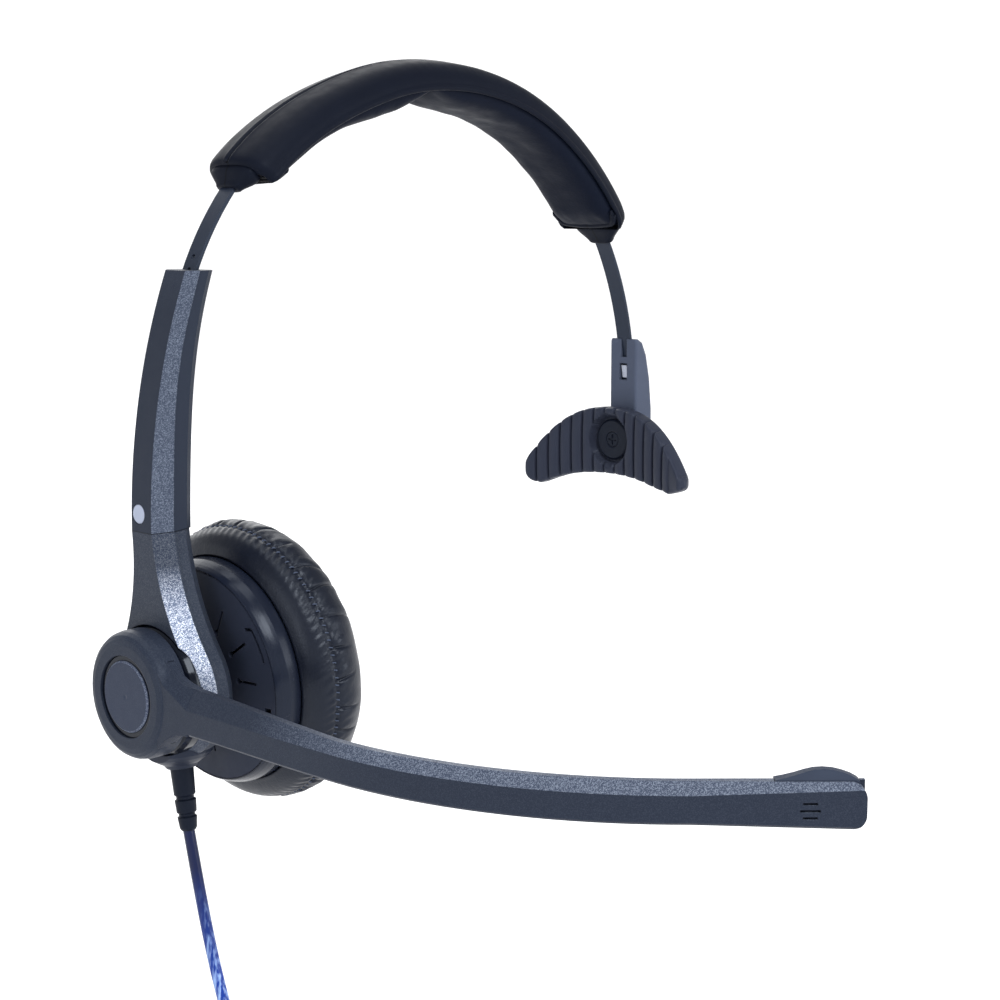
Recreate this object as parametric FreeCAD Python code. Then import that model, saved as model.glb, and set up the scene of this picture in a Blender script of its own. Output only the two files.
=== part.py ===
"""Single-sided office headset, drawn in millimetres.

Every shape is drawn in the hub's frame: the origin is the middle of the hub cap's outer face, +X runs
across the head from the ear cup to the T-bar, -Y is the way the boom points and +Z is up. The shapes are
moved to the head's frame when they are written: its origin lies on the ear axis, midway between the ear
cushion's face and the T-bar pad.
"""
import FreeCAD, Part
import math
import os

V = FreeCAD.Vector
AXIS_X = V(1, 0, 0)
AXIS_Y = V(0, 1, 0)
AXIS_Z = V(0, 0, 1)

# ---- driving dimensions (mm) -------------------------------------------------------------------------
HEAD_X = 96.0                # from the hub cap's face to the middle of the head

# headband: two tangent arcs of spring strip, left one centred on the slide joint's axis
BAND_LEFT_R = 69.0
BAND_RIGHT_R = 75.0
BAND_LEFT_CENTRE = (82.0, 57.0)
BAND_RIGHT_CENTRE = (82.0, 51.0)
STRIP_WIDTH = 4.2
STRIP_THICK = 0.8
STRIP_LEFT_END = 176.7       # degrees round the left arc, +X is 0
STRIP_RIGHT_END = 0.0        # degrees round the right arc
SLEEVE_LEFT_END = 136.6
SLEEVE_RIGHT_END = 34.2
COLLAR_LEFT_END = 139.9
COLLAR_RIGHT_END = 30.4
SLEEVE_HALF = 10.0           # half width of the sleeve at its lip
SLEEVE_CROWN = 3.8           # crown above the strip's middle
SLEEVE_LIP = 2.5             # lip below the strip's middle
PAD_HALF = 9.3
PAD_DEPTH = 6.6              # pillow's crown below the strip's middle

# arm that the strip slides in
ARM_FACE_X = 5.2
ARM_FOOT_Z = 33.0
ARM_TOP_Z = 85.3
ARM_FACE_R = 140.6           # outer face curves inwards as it rises
ARM_FACE_HALF = 3.25
ARM_HALF = 5.5
ARM_WALL = 1.1
ARM_SECTIONS = [             # height, chamfer depth, whole depth
    (27.0, 4.0, 9.5), (33.0, 4.0, 9.5), (46.0, 3.8, 9.3), (59.0, 2.9, 8.4), (72.0, 2.3, 7.3), (90.0, 1.4,
                                                                                               6.2)]

# yoke: the arm's round foot, leaning a little
YOKE_R = 15.2
YOKE_DEPTH = 9.0
YOKE_CHAMFER = 2.25
YOKE_CHAMFER_DEPTH = 4.0
YOKE_SPLIT = 4.6
YOKE_TILT = 4.34             # degrees about Y
YOKE_INSET = 3.3             # cavity's outline inside the outer one

# hub and boom
HUB_R = 13.3
HUB_DEPTH = 5.9
CAP_R = 7.4
GROOVE_R = 8.5
AXLE_R = 4.0
AXLE_PLAY = 0.05
TRIM_RING_R = 13.7
TRIM_RING_X0 = 6.25
TRIM_RING_X1 = 10.2
BOOM_FACE_X = 0.5
BOOM_DEPTH = 4.2
BOOM_SPLIT = 2.7
BOOM_ROOT_HALF = 4.6
BOOM_WAIST_HALF = 3.6        # in the bend
BOOM_HALF = 4.05             # at the tip
BOOM_ROOT_Y = 19.1
BOOM_DROOP = (1.2, 1.65)     # how far the boom has sunk at the bend and at the tip
BOOM_BEND_Y = 60.0           # where the bend starts
BOOM_BEND_R = 92.0
BOOM_BEND_DEG = 44.0
BOOM_TIP = 29.8              # straight run after the bend
BOOM_CHAMFER = (4.0, 2.0, 1.1)   # height at the root, in the bend and at the tip
BOOM_CHAMFER_DEPTH = 2.2
BOOM_BEVEL = 0.5
BOOM_WALL = 0.9
ROOT_FILLET = 13.0
MIC_FROM_TIP = 9.6

# ear cup, drawn about its own axis and then leaned and set on the ball
CUP_LEAN = 5.0               # degrees: the cup's face looks a little upwards
BALL_CENTRE = (19.4, 0.0, 0.9)
RING_FROM_BALL = 3.2         # trim ring's plane beyond the ball's centre
BALL_R = 2.4
LINER_R = (2.7, 3.2)
SOCKET_R = (3.5, 4.4)
PLATE_R = 22.5
CUP_R = 24.2
PLATE_PROUD = 2.2
CUP_SCREW_R = 17.7
CUSHION_R = 30.2
CUSHION_HOLE_R = 13.5
CUSHION_FACE = 19.0
CUSHION_BACK = 3.4

# T-bar
TBAR_FACE_X = 155.3
TBAR_PIVOT_Z = 38.6
TBAR_TOP_Z = 64.0
TBAR_HALF = 4.3
TPAD_BACK_X = 154.3
TPAD_THICK = 4.6
TPAD_HALF = 26.5
TPAD_DISH_R = 90.0
TPAD_RIBS = 15
RECESS_R = 6.2

# cord
CORD_D = 2.5
GLAND_TOP = (13.4, 0.3, -13.2)
CORD_LEAN = 8.0              # degrees towards -Y as it leaves
GLAND_LENGTH = 4.3
RELIEF_LENGTH = 13.3
FLOOR_Z = -98.0
COIL_CENTRE = (24.8, -44.0)
COIL_MEAN_R = 14.5
COIL_ROWS = 3
PLUG_LENGTH = 30.0
PLUG_HALF_WIDTH = 6.0
PLUG_HEIGHT = 7.6

SHAPES = {}


# ---- helpers ------------------------------------------------------------------------------------------
def box(low, high):
    size = [b - a for a, b in zip(low, high)]
    return Part.makeBox(size[0], size[1], size[2], V(*low))


def rod(radius, start, end):
    """Cylinder between two points."""
    a = V(*start)
    b = V(*end)
    return Part.makeCylinder(radius, (b - a).Length, a, b - a)


def rod_x(radius, x0, x1, y=0.0, z=0.0):
    return rod(radius, (x0, y, z), (x1, y, z))


def face_of(points):
    return Part.Face(Part.makePolygon([V(*p) for p in points + points[:1]]))


def turned(profile, centre=(0.0, 0.0)):
    """Solid of revolution about the X axis through (y, z) centre, from (x, radius) points."""
    y, z = centre
    face = face_of([(x, y, z + r) for x, r in profile])
    return face.revolve(V(0, y, z), AXIS_X, 360)


def ball(radius, centre):
    return Part.makeSphere(radius, V(*centre))


def moved(shape, x=0.0, y=0.0, z=0.0):
    copy = shape.copy()
    copy.translate(V(x, y, z))
    return copy


def spun(shape, centre, axis, degrees):
    copy = shape.copy()
    copy.rotate(V(*centre), axis, degrees)
    return copy


def joined(shapes):
    first, rest = shapes[0], shapes[1:]
    return first.fuse(rest).removeSplitter() if rest else first


def loft(sections, ruled=False):
    wires = [Part.makePolygon([V(*p) for p in pts + pts[:1]]) for pts in sections]
    return Part.makeLoft(wires, True, ruled)


ARCS = {"left": (BAND_LEFT_CENTRE, BAND_LEFT_R), "right": (BAND_RIGHT_CENTRE, BAND_RIGHT_R)}
STRIP_SECTION = [(-STRIP_WIDTH / 2, -STRIP_THICK / 2), (STRIP_WIDTH / 2, -STRIP_THICK / 2),
                 (STRIP_WIDTH / 2, STRIP_THICK / 2), (-STRIP_WIDTH / 2, STRIP_THICK / 2)]


def swept_band(section, left_end, right_end):
    """Band section of (y, height above the strip's middle) points, swept along the headband's two arcs."""
    pieces = []
    for side, turn in (("left", 90 - left_end), ("right", 90 - right_end)):
        (cx, cz), radius = ARCS[side]
        face = face_of([(cx, y, cz + radius + h) for y, h in section])
        pieces.append(face.revolve(V(cx, 0, cz), AXIS_Y, turn))
    return joined(pieces)


def band_piece(section, side, start, end):
    """The same, over one stretch of one arc."""
    (cx, cz), radius = ARCS[side]
    face = face_of([(cx, y, cz + radius + h) for y, h in section])
    face.rotate(V(cx, 0, cz), AXIS_Y, 90 - start)
    return face.revolve(V(cx, 0, cz), AXIS_Y, start - end)


def strip_gap(clearance):
    """The strip's path with room round it, as far as it slides both ways."""
    half = STRIP_WIDTH / 2 + clearance
    rise = STRIP_THICK / 2 + clearance
    section = [(-half, -rise), (half, -rise), (half, rise), (-half, rise)]
    return band_piece(section, "left", 120.0, 192.0)


# ---- headband ---------------------------------------------------------------------------------------
def headband_strip():
    strip = swept_band(STRIP_SECTION, STRIP_LEFT_END, STRIP_RIGHT_END)
    cx, cz = BAND_LEFT_CENTRE
    for step in range(7):                          # detent holes in the sliding end
        hole = rod_x(0.6, cx - BAND_LEFT_R - 2, cx - BAND_LEFT_R + 2, 0, cz)
        strip = strip.cut(spun(hole, (cx, 0, cz), AXIS_Y, 12.0 + 2.4 * step))
    return strip


def strip_stop():
    """Block on the strip's outer side that meets the guide at full length."""
    section = [(-2.4, -0.5), (2.4, -0.5), (2.4, 1.0), (-2.4, 1.0)]
    return band_piece(section, "left", 171.8, 175.6).cut(strip_gap(0.0))


def headband_sleeve():
    section = [(-SLEEVE_HALF, -SLEEVE_LIP), (-9.7, -0.6), (-8.6, 1.4), (-6.4, 3.0), (-3.2, 3.6),
               (0, SLEEVE_CROWN),
               (3.2, 3.6), (6.4, 3.0), (8.6, 1.4), (9.7, -0.6), (SLEEVE_HALF, -SLEEVE_LIP)]
    sleeve = swept_band(section, SLEEVE_LEFT_END, SLEEVE_RIGHT_END)
    return sleeve.cut(swept_band(STRIP_SECTION, 150.0, 20.0))


def arc_frame(side, angle, points):
    """(y, height above the strip's middle) points stood across the band at an angle of one of its arcs."""
    (cx, cz), radius = ARCS[side]
    c, s = math.cos(math.radians(angle)), math.sin(math.radians(angle))
    return [(cx + (radius + h) * c, y, cz + (radius + h) * s) for y, h in points]


def band_collar(side, start, end):
    """Stiff snout that clamps the sleeve's end on the strip, narrower towards its tip."""
    wide = [(-6.2, -2.7), (6.2, -2.7), (7.0, 0.2), (5.0, 3.0), (-5.0, 3.0), (-7.0, 0.2)]
    tip = [(-3.3, -1.6), (3.3, -1.6), (3.9, 0.1), (2.7, 1.9), (-2.7, 1.9), (-3.9, 0.1)]
    middle = start + (end - start) * 0.55
    block = joined([loft([arc_frame(side, start, wide), arc_frame(side, middle, wide)], True),
                    loft([arc_frame(side, middle, wide), arc_frame(side, end, tip)], True)])
    return block.cut(band_piece(STRIP_SECTION, side, 150.0 if side == "left" else 45.0,
                                125.0 if side == "left" else 15.0))


def head_cushion(side, start, end):
    """Pillow under the band; its long edges are rounded and its ends thin out."""
    low = -SLEEVE_LIP - 0.05
    full = [(-PAD_HALF, low), (-9.1, -4.4), (-7.0, -6.0), (-3.5, -PAD_DEPTH), (3.5, -PAD_DEPTH),
            (7.0, -6.0),
            (9.1, -4.4), (PAD_HALF, low)]
    thin = [(y * 0.9, low + (h - low) * 0.55) for y, h in full]
    step = 3.0 if end > start else -3.0
    parts = [band_piece(thin, side, start, start + step), band_piece(full, side, start + step, end - step),
             band_piece(thin, side, end - step, end)]
    return joined(parts)


# ---- arm ----------------------------------------------------------------------------------------------
def arm_face_x(z):
    return ARM_FACE_X + ARM_FACE_R - math.sqrt(ARM_FACE_R ** 2 - (z - ARM_FOOT_Z) ** 2)


def arm_section(z, points):
    return [(arm_face_x(z) + x, y, z) for x, y in points]


def arm_front(z, chamfer, depth):
    return arm_section(z, [(0, -ARM_FACE_HALF), (0, ARM_FACE_HALF), (chamfer, ARM_HALF),
                           (chamfer, -ARM_HALF)])


def arm_back(z, chamfer, depth):
    return arm_section(z, [
        (chamfer, -ARM_HALF), (chamfer, ARM_HALF), (depth - 2.2, 5.4), (depth - 0.7, 4.6), (depth, 3.0),
        (depth, -3.0), (depth - 0.7, -4.6), (depth - 2.2, -5.4)])


def arm_hollow(z, chamfer, depth):
    back = depth - ARM_WALL
    return arm_section(z, [(ARM_WALL, -2.5), (ARM_WALL, 2.5), (chamfer + 0.3, 4.3), (back - 0.9, 4.2),
                           (back, 3.3),
                           (back, -3.3), (back - 0.9, -4.2), (chamfer + 0.3, -4.3)])


def arm_trimmed(solid):
    """Cut level at the top, and at the foot along the leaning yoke's seam."""
    solid = solid.common(box((-20, -20, 20), (60, 20, ARM_TOP_Z)))
    seam = spun(box((-40, -20, 0), (60, 20, ARM_FOOT_Z)), (ARM_FACE_X, 0, ARM_FOOT_Z), AXIS_Y, -YOKE_TILT)
    return solid.cut(seam)


def arm_shells():
    hollow = loft([arm_hollow(*s) for s in ARM_SECTIONS]).common(box((-20, -20, 20),
                                                                     (60, 20, ARM_TOP_Z - 2.4)))
    slot = strip_gap(0.3)
    front = arm_trimmed(loft([arm_front(*s) for s in ARM_SECTIONS])).cut([hollow, slot])
    back = arm_trimmed(loft([arm_back(*s) for s in ARM_SECTIONS])).cut([hollow, slot, detent_spring()])
    x = arm_face_x(BADGE_Z)
    front = front.cut(rod_x(BADGE_R + 0.05, x - 1.0, x + 0.45, BADGE_Y, BADGE_Z))
    for z in ARM_SCREW_Z:                         # countersunk screw holes from the inner side
        back = back.cut(rod_x(0.8, 8, 30, 0, z)).cut(rod_x(1.35, arm_back_x(z) - 0.9, 40, 0, z))
    return front, back


ARM_SCREW_Z = (38.5, 45.5)
BADGE_Y = 0.9
BADGE_Z = 36.7
BADGE_R = 1.95


def arm_back_x(z):
    """Where the arm's inner face stands at a height."""
    for (z0, _, d0), (z1, _, d1) in zip(ARM_SECTIONS, ARM_SECTIONS[1:]):
        if z0 <= z <= z1:
            return arm_face_x(z) + d0 + (d1 - d0) * (z - z0) / (z1 - z0)
    return arm_face_x(z)


def arm_screws():
    screws = []
    for z in ARM_SCREW_Z:
        x = arm_back_x(z)
        head = rod_x(1.3, x - 0.85, x - 0.25, 0, z)
        shank = rod_x(0.75, x - 4.2, x - 0.6, 0, z)
        slot = box((x - 0.5, -0.2, z - 0.9), (x, 0.2, z + 0.9))
        screws.append(head.fuse(shank).cut(slot))
    return Part.makeCompound(screws)


def arm_badge():
    """Plain round badge, without lettering, a little proud of the face."""
    x = arm_face_x(BADGE_Z)
    return turned([(x - 0.1, 0), (x - 0.1, BADGE_R - 0.25), (x + 0.1, BADGE_R), (x + 0.45, BADGE_R),
                   (x + 0.45, 0)],
                  (BADGE_Y, BADGE_Z))


def arm_guide():
    """Slotted bush that the strip runs through, just under the arm's top."""
    z0, z1 = ARM_TOP_Z - 6.0, ARM_TOP_Z - 2.5
    sections = []
    for z in (z0, z1):
        depth = arm_back_x(z) - arm_face_x(z)
        sections.append(arm_section(z, [(1.25, -2.3), (1.25, 2.3), (2.3, 3.9), (depth - 1.9, 3.9),
                                        (depth - 1.9, -3.9),
                                        (2.3, -3.9)]))
    return loft(sections, True).cut([strip_gap(0.3), detent_spring()])


def detent_spring():
    """Leaf fixed in the arm; its bump faces the strip's row of holes."""
    leaf = [(-1.6, -2.0), (1.6, -2.0), (1.6, -1.65), (-1.6, -1.65)]
    bump = [(-0.5, -1.66), (0.5, -1.66), (0.3, -0.85), (-0.3, -0.85)]
    return joined([band_piece(leaf, "left", 159.9, 168.5), band_piece(bump, "left", 166.2, 167.4)])


# ---- yoke ---------------------------------------------------------------------------------------------
def yoke_outline(inset, x):
    """Round foot that runs up into the arm's width through two hollow curves."""
    radius = YOKE_R - inset
    half = ARM_HALF - inset
    flare = (YOKE_R ** 2 - ARM_HALF ** 2 - ARM_FOOT_Z ** 2) / (2 * (ARM_HALF - YOKE_R)) + inset
    cy = half + flare
    reach = math.hypot(cy, ARM_FOOT_Z)
    ty, tz = cy * radius / reach, ARM_FOOT_Z * radius / reach
    middle = math.atan2(tz - ARM_FOOT_Z, ty - cy)
    middle = (middle + (math.pi if middle > 0 else -math.pi)) / 2
    my, mz = cy + flare * math.cos(middle), ARM_FOOT_Z + flare * math.sin(middle)
    top_a, top_b = V(x, half, ARM_FOOT_Z), V(x, -half, ARM_FOOT_Z)
    edges = [Part.Arc(top_a, V(x, my, mz), V(x, ty, tz)).toShape(),
             Part.Arc(V(x, ty, tz), V(x, 0, -radius), V(x, -ty, tz)).toShape(),
             Part.Arc(V(x, -ty, tz), V(x, -my, mz), top_b).toShape(),
             Part.LineSegment(top_b, top_a).toShape()]
    return Part.Wire(edges)


def yoke_slab(inset, x0, x1):
    return Part.Face(yoke_outline(inset, x0)).extrude(V(x1 - x0, 0, 0))


def leaned(shape):
    """From the yoke's own frame, with its face at x = 0, to its place."""
    return spun(moved(shape, ARM_FACE_X), (ARM_FACE_X, 0, ARM_FOOT_Z), AXIS_Y, -YOKE_TILT)


def yoke_shells():
    chamfered = Part.makeLoft([yoke_outline(YOKE_CHAMFER, 0), yoke_outline(0, YOKE_CHAMFER_DEPTH)], True,
                              True)
    front = joined([chamfered, yoke_slab(0, YOKE_CHAMFER_DEPTH, YOKE_SPLIT)])
    middle = yoke_slab(0.15, YOKE_SPLIT, YOKE_DEPTH - 2.0)
    rounded = Part.makeLoft([yoke_outline(0.15, YOKE_DEPTH - 2.0), yoke_outline(1.6, YOKE_DEPTH)], True,
                            True)
    back = joined([middle, rounded])
    hollow = leaned(yoke_slab(YOKE_INSET, 1.7, YOKE_DEPTH - 1.5))
    neck_room = leaned(box((1.7, -2.3, 20), (YOKE_DEPTH - 1.5, 2.3, 40)))
    seat = rod_x(TRIM_RING_R + 0.02, -5, TRIM_RING_X1)
    bore = rod_x(11.85, 5, 11.65)
    front, back = leaned(front), leaned(back)
    front = front.cut([hollow, neck_room, seat, bore])
    stud_hole = rod_x(1.35, 10, 30, 0, BALL_CENTRE[2])
    funnel = gland_body(0.0)
    back = back.cut([hollow, neck_room, bore, stud_hole, funnel])
    front = front.cut(funnel)
    for y, z in YOKE_SCREWS:
        back = back.cut(rod_x(1.4, yoke_back_x(z) - 1.1, 40, y, z)).cut(rod_x(0.85, 12, 40, y, z))
    return front, back


YOKE_SCREWS = ((8.6, -6.6), (-8.6, -6.6), (0.0, 24.5))


def yoke_back_x(z):
    """The yoke's inner face at a height, on its middle line."""
    lean = math.radians(YOKE_TILT)
    return ARM_FACE_X + YOKE_DEPTH / math.cos(lean) + (ARM_FOOT_Z - z) * math.tan(lean)


def yoke_screws():
    screws = []
    for y, z in YOKE_SCREWS:
        x = yoke_back_x(z)
        head = rod_x(1.35, x - 1.05, x - 0.35, y, z)
        shank = rod_x(0.8, x - 4.4, x - 0.7, y, z)
        slot = box((x - 0.6, y - 0.2, z - 0.9), (x, y + 0.2, z + 0.9))
        screws.append(head.fuse(shank).cut(slot))
    return Part.makeCompound(screws)


def along_exit(shape, start):
    """Stand a shape drawn along +Z on the cord's way out, start mm below the gland's top."""
    lean = math.radians(CORD_LEAN)
    way = V(0, -math.sin(lean), -math.cos(lean))
    copy = shape.copy()
    copy.rotate(V(0, 0, 0), AXIS_X, 180 - CORD_LEAN)
    copy.translate(V(*GLAND_TOP) + way * start)
    return copy


def turned_z(profile):
    """Solid of revolution about Z from (z, radius) points."""
    return face_of([(r, 0, z) for z, r in profile]).revolve(V(0, 0, 0), AXIS_Z, 360)


def gland_body(bore):
    """Funnel under the yoke's round foot, cut clear of the axle's flange and the trim ring."""
    profile = [(-6.0, bore), (-6.0, 8.3), (-2.2, 8.2), (0.0, 7.8), (1.2, 7.1), (2.1, 6.1), (2.9, 4.8),
               (3.5, 3.7),
               (GLAND_LENGTH, 3.1), (GLAND_LENGTH, bore)]
    body = along_exit(turned_z(profile), 0).common(box((GLAND_X[0], -20, -30), (GLAND_X[1], 20, 0)))
    return body.cut([rod_x(12.05, 0, 30), rod_x(TRIM_RING_R + 0.02, -5, TRIM_RING_X1 + 0.02)])


GLAND_X = (7.6, 17.4)


def cord_gland():
    return gland_body(1.3)


def strain_relief():
    """Tapered sleeve: a plain stretch and two beads with narrow necks between them."""
    bore = CORD_D / 2
    profile = [(0, bore), (0, 2.45), (5.7, 2.25), (6.1, 1.85), (6.6, 1.85), (6.9, 2.25), (9.4, 2.1),
               (9.8, 1.7),
               (10.2, 1.7), (10.5, 2.05), (RELIEF_LENGTH - 0.5, 1.8), (RELIEF_LENGTH, 1.5), (RELIEF_LENGTH,
                                                                                             bore)]
    return along_exit(turned_z(profile), GLAND_LENGTH)


# ---- hub -----------------------------------------------------------------------------------------------
def hub_trim_ring():
    """Gloss collar that the boom's boss turns against."""
    return turned([(TRIM_RING_X0, 11.3), (TRIM_RING_X0, 12.4), (7.0, 13.2), (8.2, TRIM_RING_R),
                   (TRIM_RING_X1, TRIM_RING_R),
                   (TRIM_RING_X1, 11.3)])


def hub_axle():
    """Hollow pin with a flange held between the yoke's shells; the wires pass through it."""
    return turned([(1.9, 1.5), (1.9, AXLE_R), (10.2, AXLE_R), (10.2, 11.8), (11.6, 11.8), (11.6, 6.5),
                   (13.0, 6.5),
                   (13.0, 2.5), (7.0, 2.5), (7.0, 1.5)])


def hub_washer():
    return turned([(1.3, 1.55), (1.3, 5.3), (1.88, 5.3), (1.88, 1.55)])


def hub_screw():
    head = rod_x(2.6, 0.95, 1.29)
    shank = rod_x(1.48, 1.29, 5.5)
    return head.fuse(shank).cut(box((0.9, -0.25, -2.0), (1.15, 0.25, 2.0)))


def hub_bearing():
    return turned([(2.2, AXLE_R + AXLE_PLAY), (2.2, 5.6), (5.6, 5.6), (5.6, AXLE_R + AXLE_PLAY)])


def hub_cap():
    return turned([(0.1, 0), (0, 0.6), (0, CAP_R - 0.4), (0.35, CAP_R), (0.95, CAP_R), (0.95, 5.7),
                   (0.6, 5.2), (0.6, 0)])


def hub_seal_ring():
    return turned([(0.5, CAP_R + 0.02), (0.5, GROOVE_R - 0.05), (0.9, GROOVE_R - 0.05),
                   (0.9, CAP_R + 0.02)])


# ---- boom ----------------------------------------------------------------------------------------------
def boom_section(half, chamfer, front, back):
    """Section as (depth behind the face, z) points between two depths."""
    top = [(0.0, half - chamfer), (min(chamfer * 1.05, BOOM_CHAMFER_DEPTH), half)]
    low = [(BOOM_BEVEL, -half), (0.0, -half + BOOM_BEVEL)]
    if front == 0:
        return top + [(back, half), (back, -half)] + low
    return [(front, half), (back - 0.6, half), (back, half - 0.9), (back, -half + 0.9), (back - 0.6, -half),
            (front, -half)]


def boom_run(make):
    """Loft the root, turn the bend and run out the tip, from a section-making function of (half, chamfer)."""
    def placed(half, chamfer, y, drop):
        return [(BOOM_FACE_X + d, -y, z - drop) for d, z in make(half, chamfer)]
    sections = []
    for share, sunk in ((0.0, 0.0), (0.2, 0.14), (0.45, 0.46), (0.73, 0.79), (1.0, 1.0)):
        half = BOOM_ROOT_HALF + (BOOM_WAIST_HALF - BOOM_ROOT_HALF) * share
        chamfer = BOOM_CHAMFER[0] + (BOOM_CHAMFER[1] - BOOM_CHAMFER[0]) * share
        y = BOOM_ROOT_Y + (BOOM_BEND_Y - BOOM_ROOT_Y) * share
        sections.append(placed(half, chamfer, y, BOOM_DROOP[0] * sunk))
    root = loft(sections)
    end = face_of(sections[-1])
    pivot = V(BOOM_FACE_X + BOOM_BEND_R, -BOOM_BEND_Y, 0)
    bend = end.revolve(pivot, AXIS_Z, BOOM_BEND_DEG)
    tip = loft([sections[-1], placed(BOOM_HALF, BOOM_CHAMFER[2], BOOM_BEND_Y + BOOM_TIP, BOOM_DROOP[1])],
               True)
    tip.rotate(pivot, AXIS_Z, BOOM_BEND_DEG)
    return joined([root, bend, tip])


def at_tip(shape):
    """Set a shape drawn with its face in the plane x = 0, the boom's end at y = 0 and the boom towards +Y."""
    pivot = V(BOOM_FACE_X + BOOM_BEND_R, -BOOM_BEND_Y, 0)
    copy = moved(shape, BOOM_FACE_X, -BOOM_BEND_Y - BOOM_TIP, -BOOM_DROOP[1])
    copy.rotate(pivot, AXIS_Z, BOOM_BEND_DEG)
    return copy


def tip_rounding(solid):
    """Round the boom's end corners."""
    radius = 2.6
    half = BOOM_HALF
    keep = joined([box((-9, radius, -9), (30, 60, 9)), box((-9, 0, -half + radius),
                                                           (30, 60, half - radius)),
                   rod_x(radius, -9, 30, radius, half - radius), rod_x(radius, -9, 30, radius,
                                                                       -half + radius)])
    blank = box((-9, -5, -9), (30, 12, 9))
    return solid.cut(at_tip(blank.cut(keep)))


def root_web(x0, x1):
    """Outline of the boss's circle running into the boom's root through two hollow fillets."""
    cz = BOOM_ROOT_HALF + ROOT_FILLET
    cy = -math.sqrt((HUB_R + ROOT_FILLET) ** 2 - cz ** 2)
    share = HUB_R / (HUB_R + ROOT_FILLET)
    ty, tz = cy * share, cz * share
    mid = V(0, ty - cy, tz - cz) + V(0, 0, -ROOT_FILLET)
    mid.normalize()
    my, mz = cy + mid.y * ROOT_FILLET, cz + mid.z * ROOT_FILLET
    points = {"top": V(x0, ty, tz), "mid": V(x0, my, mz), "line": V(x0, cy, BOOM_ROOT_HALF)}
    low = {k: V(x0, p.y, -p.z) for k, p in points.items()}
    edges = [Part.Arc(points["top"], points["mid"], points["line"]).toShape(),
             Part.LineSegment(points["line"], low["line"]).toShape(),
             Part.Arc(low["line"], low["mid"], low["top"]).toShape(),
             Part.LineSegment(low["top"], points["top"]).toShape()]
    web = Part.Face(Part.Wire(edges)).extrude(V(x1 - x0, 0, 0))
    slope = []
    for y, low_z, high_z in ((8.0, 9.6, 10.2), (12.0, 4.4, 6.9),
                             (cy * -1 + 0.01, BOOM_ROOT_HALF - BOOM_CHAMFER[0],
                                                                  BOOM_ROOT_HALF)):
        rise = (high_z - low_z) / BOOM_CHAMFER_DEPTH
        slope.append([(BOOM_FACE_X - 1, -y, low_z - rise), (BOOM_FACE_X + BOOM_CHAMFER_DEPTH, -y, high_z),
                      (BOOM_FACE_X + BOOM_CHAMFER_DEPTH, -y, 20), (BOOM_FACE_X - 1, -y, 20)])
    return web.cut(loft(slope, True))


def boom_shells():
    front_depth = BOOM_FACE_X + BOOM_SPLIT
    boss = turned([(0, GROOVE_R), (0, 10.6), (0.25, 11.7), (0.8, 12.5), (1.7, 13.05), (3.0, HUB_R),
                   (HUB_DEPTH, HUB_R),
                   (HUB_DEPTH, 5.65), (0.95, 5.65), (0.95, GROOVE_R)])
    front = boom_run(lambda half, chamfer: boom_section(half, chamfer, 0, BOOM_SPLIT))
    front = joined([front, root_web(BOOM_FACE_X, front_depth), boss])
    front = front.cut(turned([(-1, 0), (-1, GROOVE_R), (0.95, GROOVE_R), (0.95, 5.65), (9, 5.65), (9, 0)]))
    groove = boom_run(lambda half, chamfer: [
        (BOOM_WALL, -half + 1.3), (BOOM_WALL, half - chamfer - 0.3), (BOOM_WALL + 1.0, half - 1.0),
        (BOOM_SPLIT + 0.01, half - 1.0), (BOOM_SPLIT + 0.01, -half + 1.3)])
    groove = groove.cut(at_tip(box((-9, -40, -9), (20, 1.3, 9))))
    front = tip_rounding(front).cut(groove)
    back = boom_run(lambda half, chamfer: boom_section(half, chamfer, BOOM_SPLIT, BOOM_DEPTH))
    back = tip_rounding(joined([back, root_web(front_depth, BOOM_FACE_X + BOOM_DEPTH)]))
    back = back.cut(turned([(-1, 0), (-1, HUB_R + 0.02), (9, HUB_R + 0.02), (9, 0)]))
    mic_room = at_tip(rod_x(MIC_R + 0.55, 0.95, 3.7, MIC_FROM_TIP, 0))
    front, back = front.cut(mic_room), back.cut(mic_room)
    for level, length in ((1.25, 2.5), (0.0, 3.5), (-1.25, 2.5)):
        middle = MIC_Z + level
        slot = box((-1, MIC_FROM_TIP - length / 2, middle - 0.24),
                   (7, MIC_FROM_TIP + length / 2, middle + 0.24))
        front, back = front.cut(at_tip(slot)), back.cut(at_tip(slot))
    cap_seat = at_tip(box((1.7, 0.9, BOOM_HALF - 0.55), (8, 15.5, 9)))
    return front.cut(cap_seat), back.cut(cap_seat)


MIC_R = 2.5
MIC_Z = -0.7


def mic_capsule():
    return at_tip(rod_x(MIC_R, 1.6, 3.2, MIC_FROM_TIP, 0))


def mic_boot():
    ring = rod_x(MIC_R + 0.5, 1.3, 3.4, MIC_FROM_TIP, 0).cut(rod_x(MIC_R, 1.55, 4.0, MIC_FROM_TIP, 0))
    return at_tip(ring.cut(rod_x(1.8, 1.0, 4.0, MIC_FROM_TIP, 0)))


def mic_screen():
    return at_tip(rod_x(MIC_R, 1.0, 1.25, MIC_FROM_TIP, 0))


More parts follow.
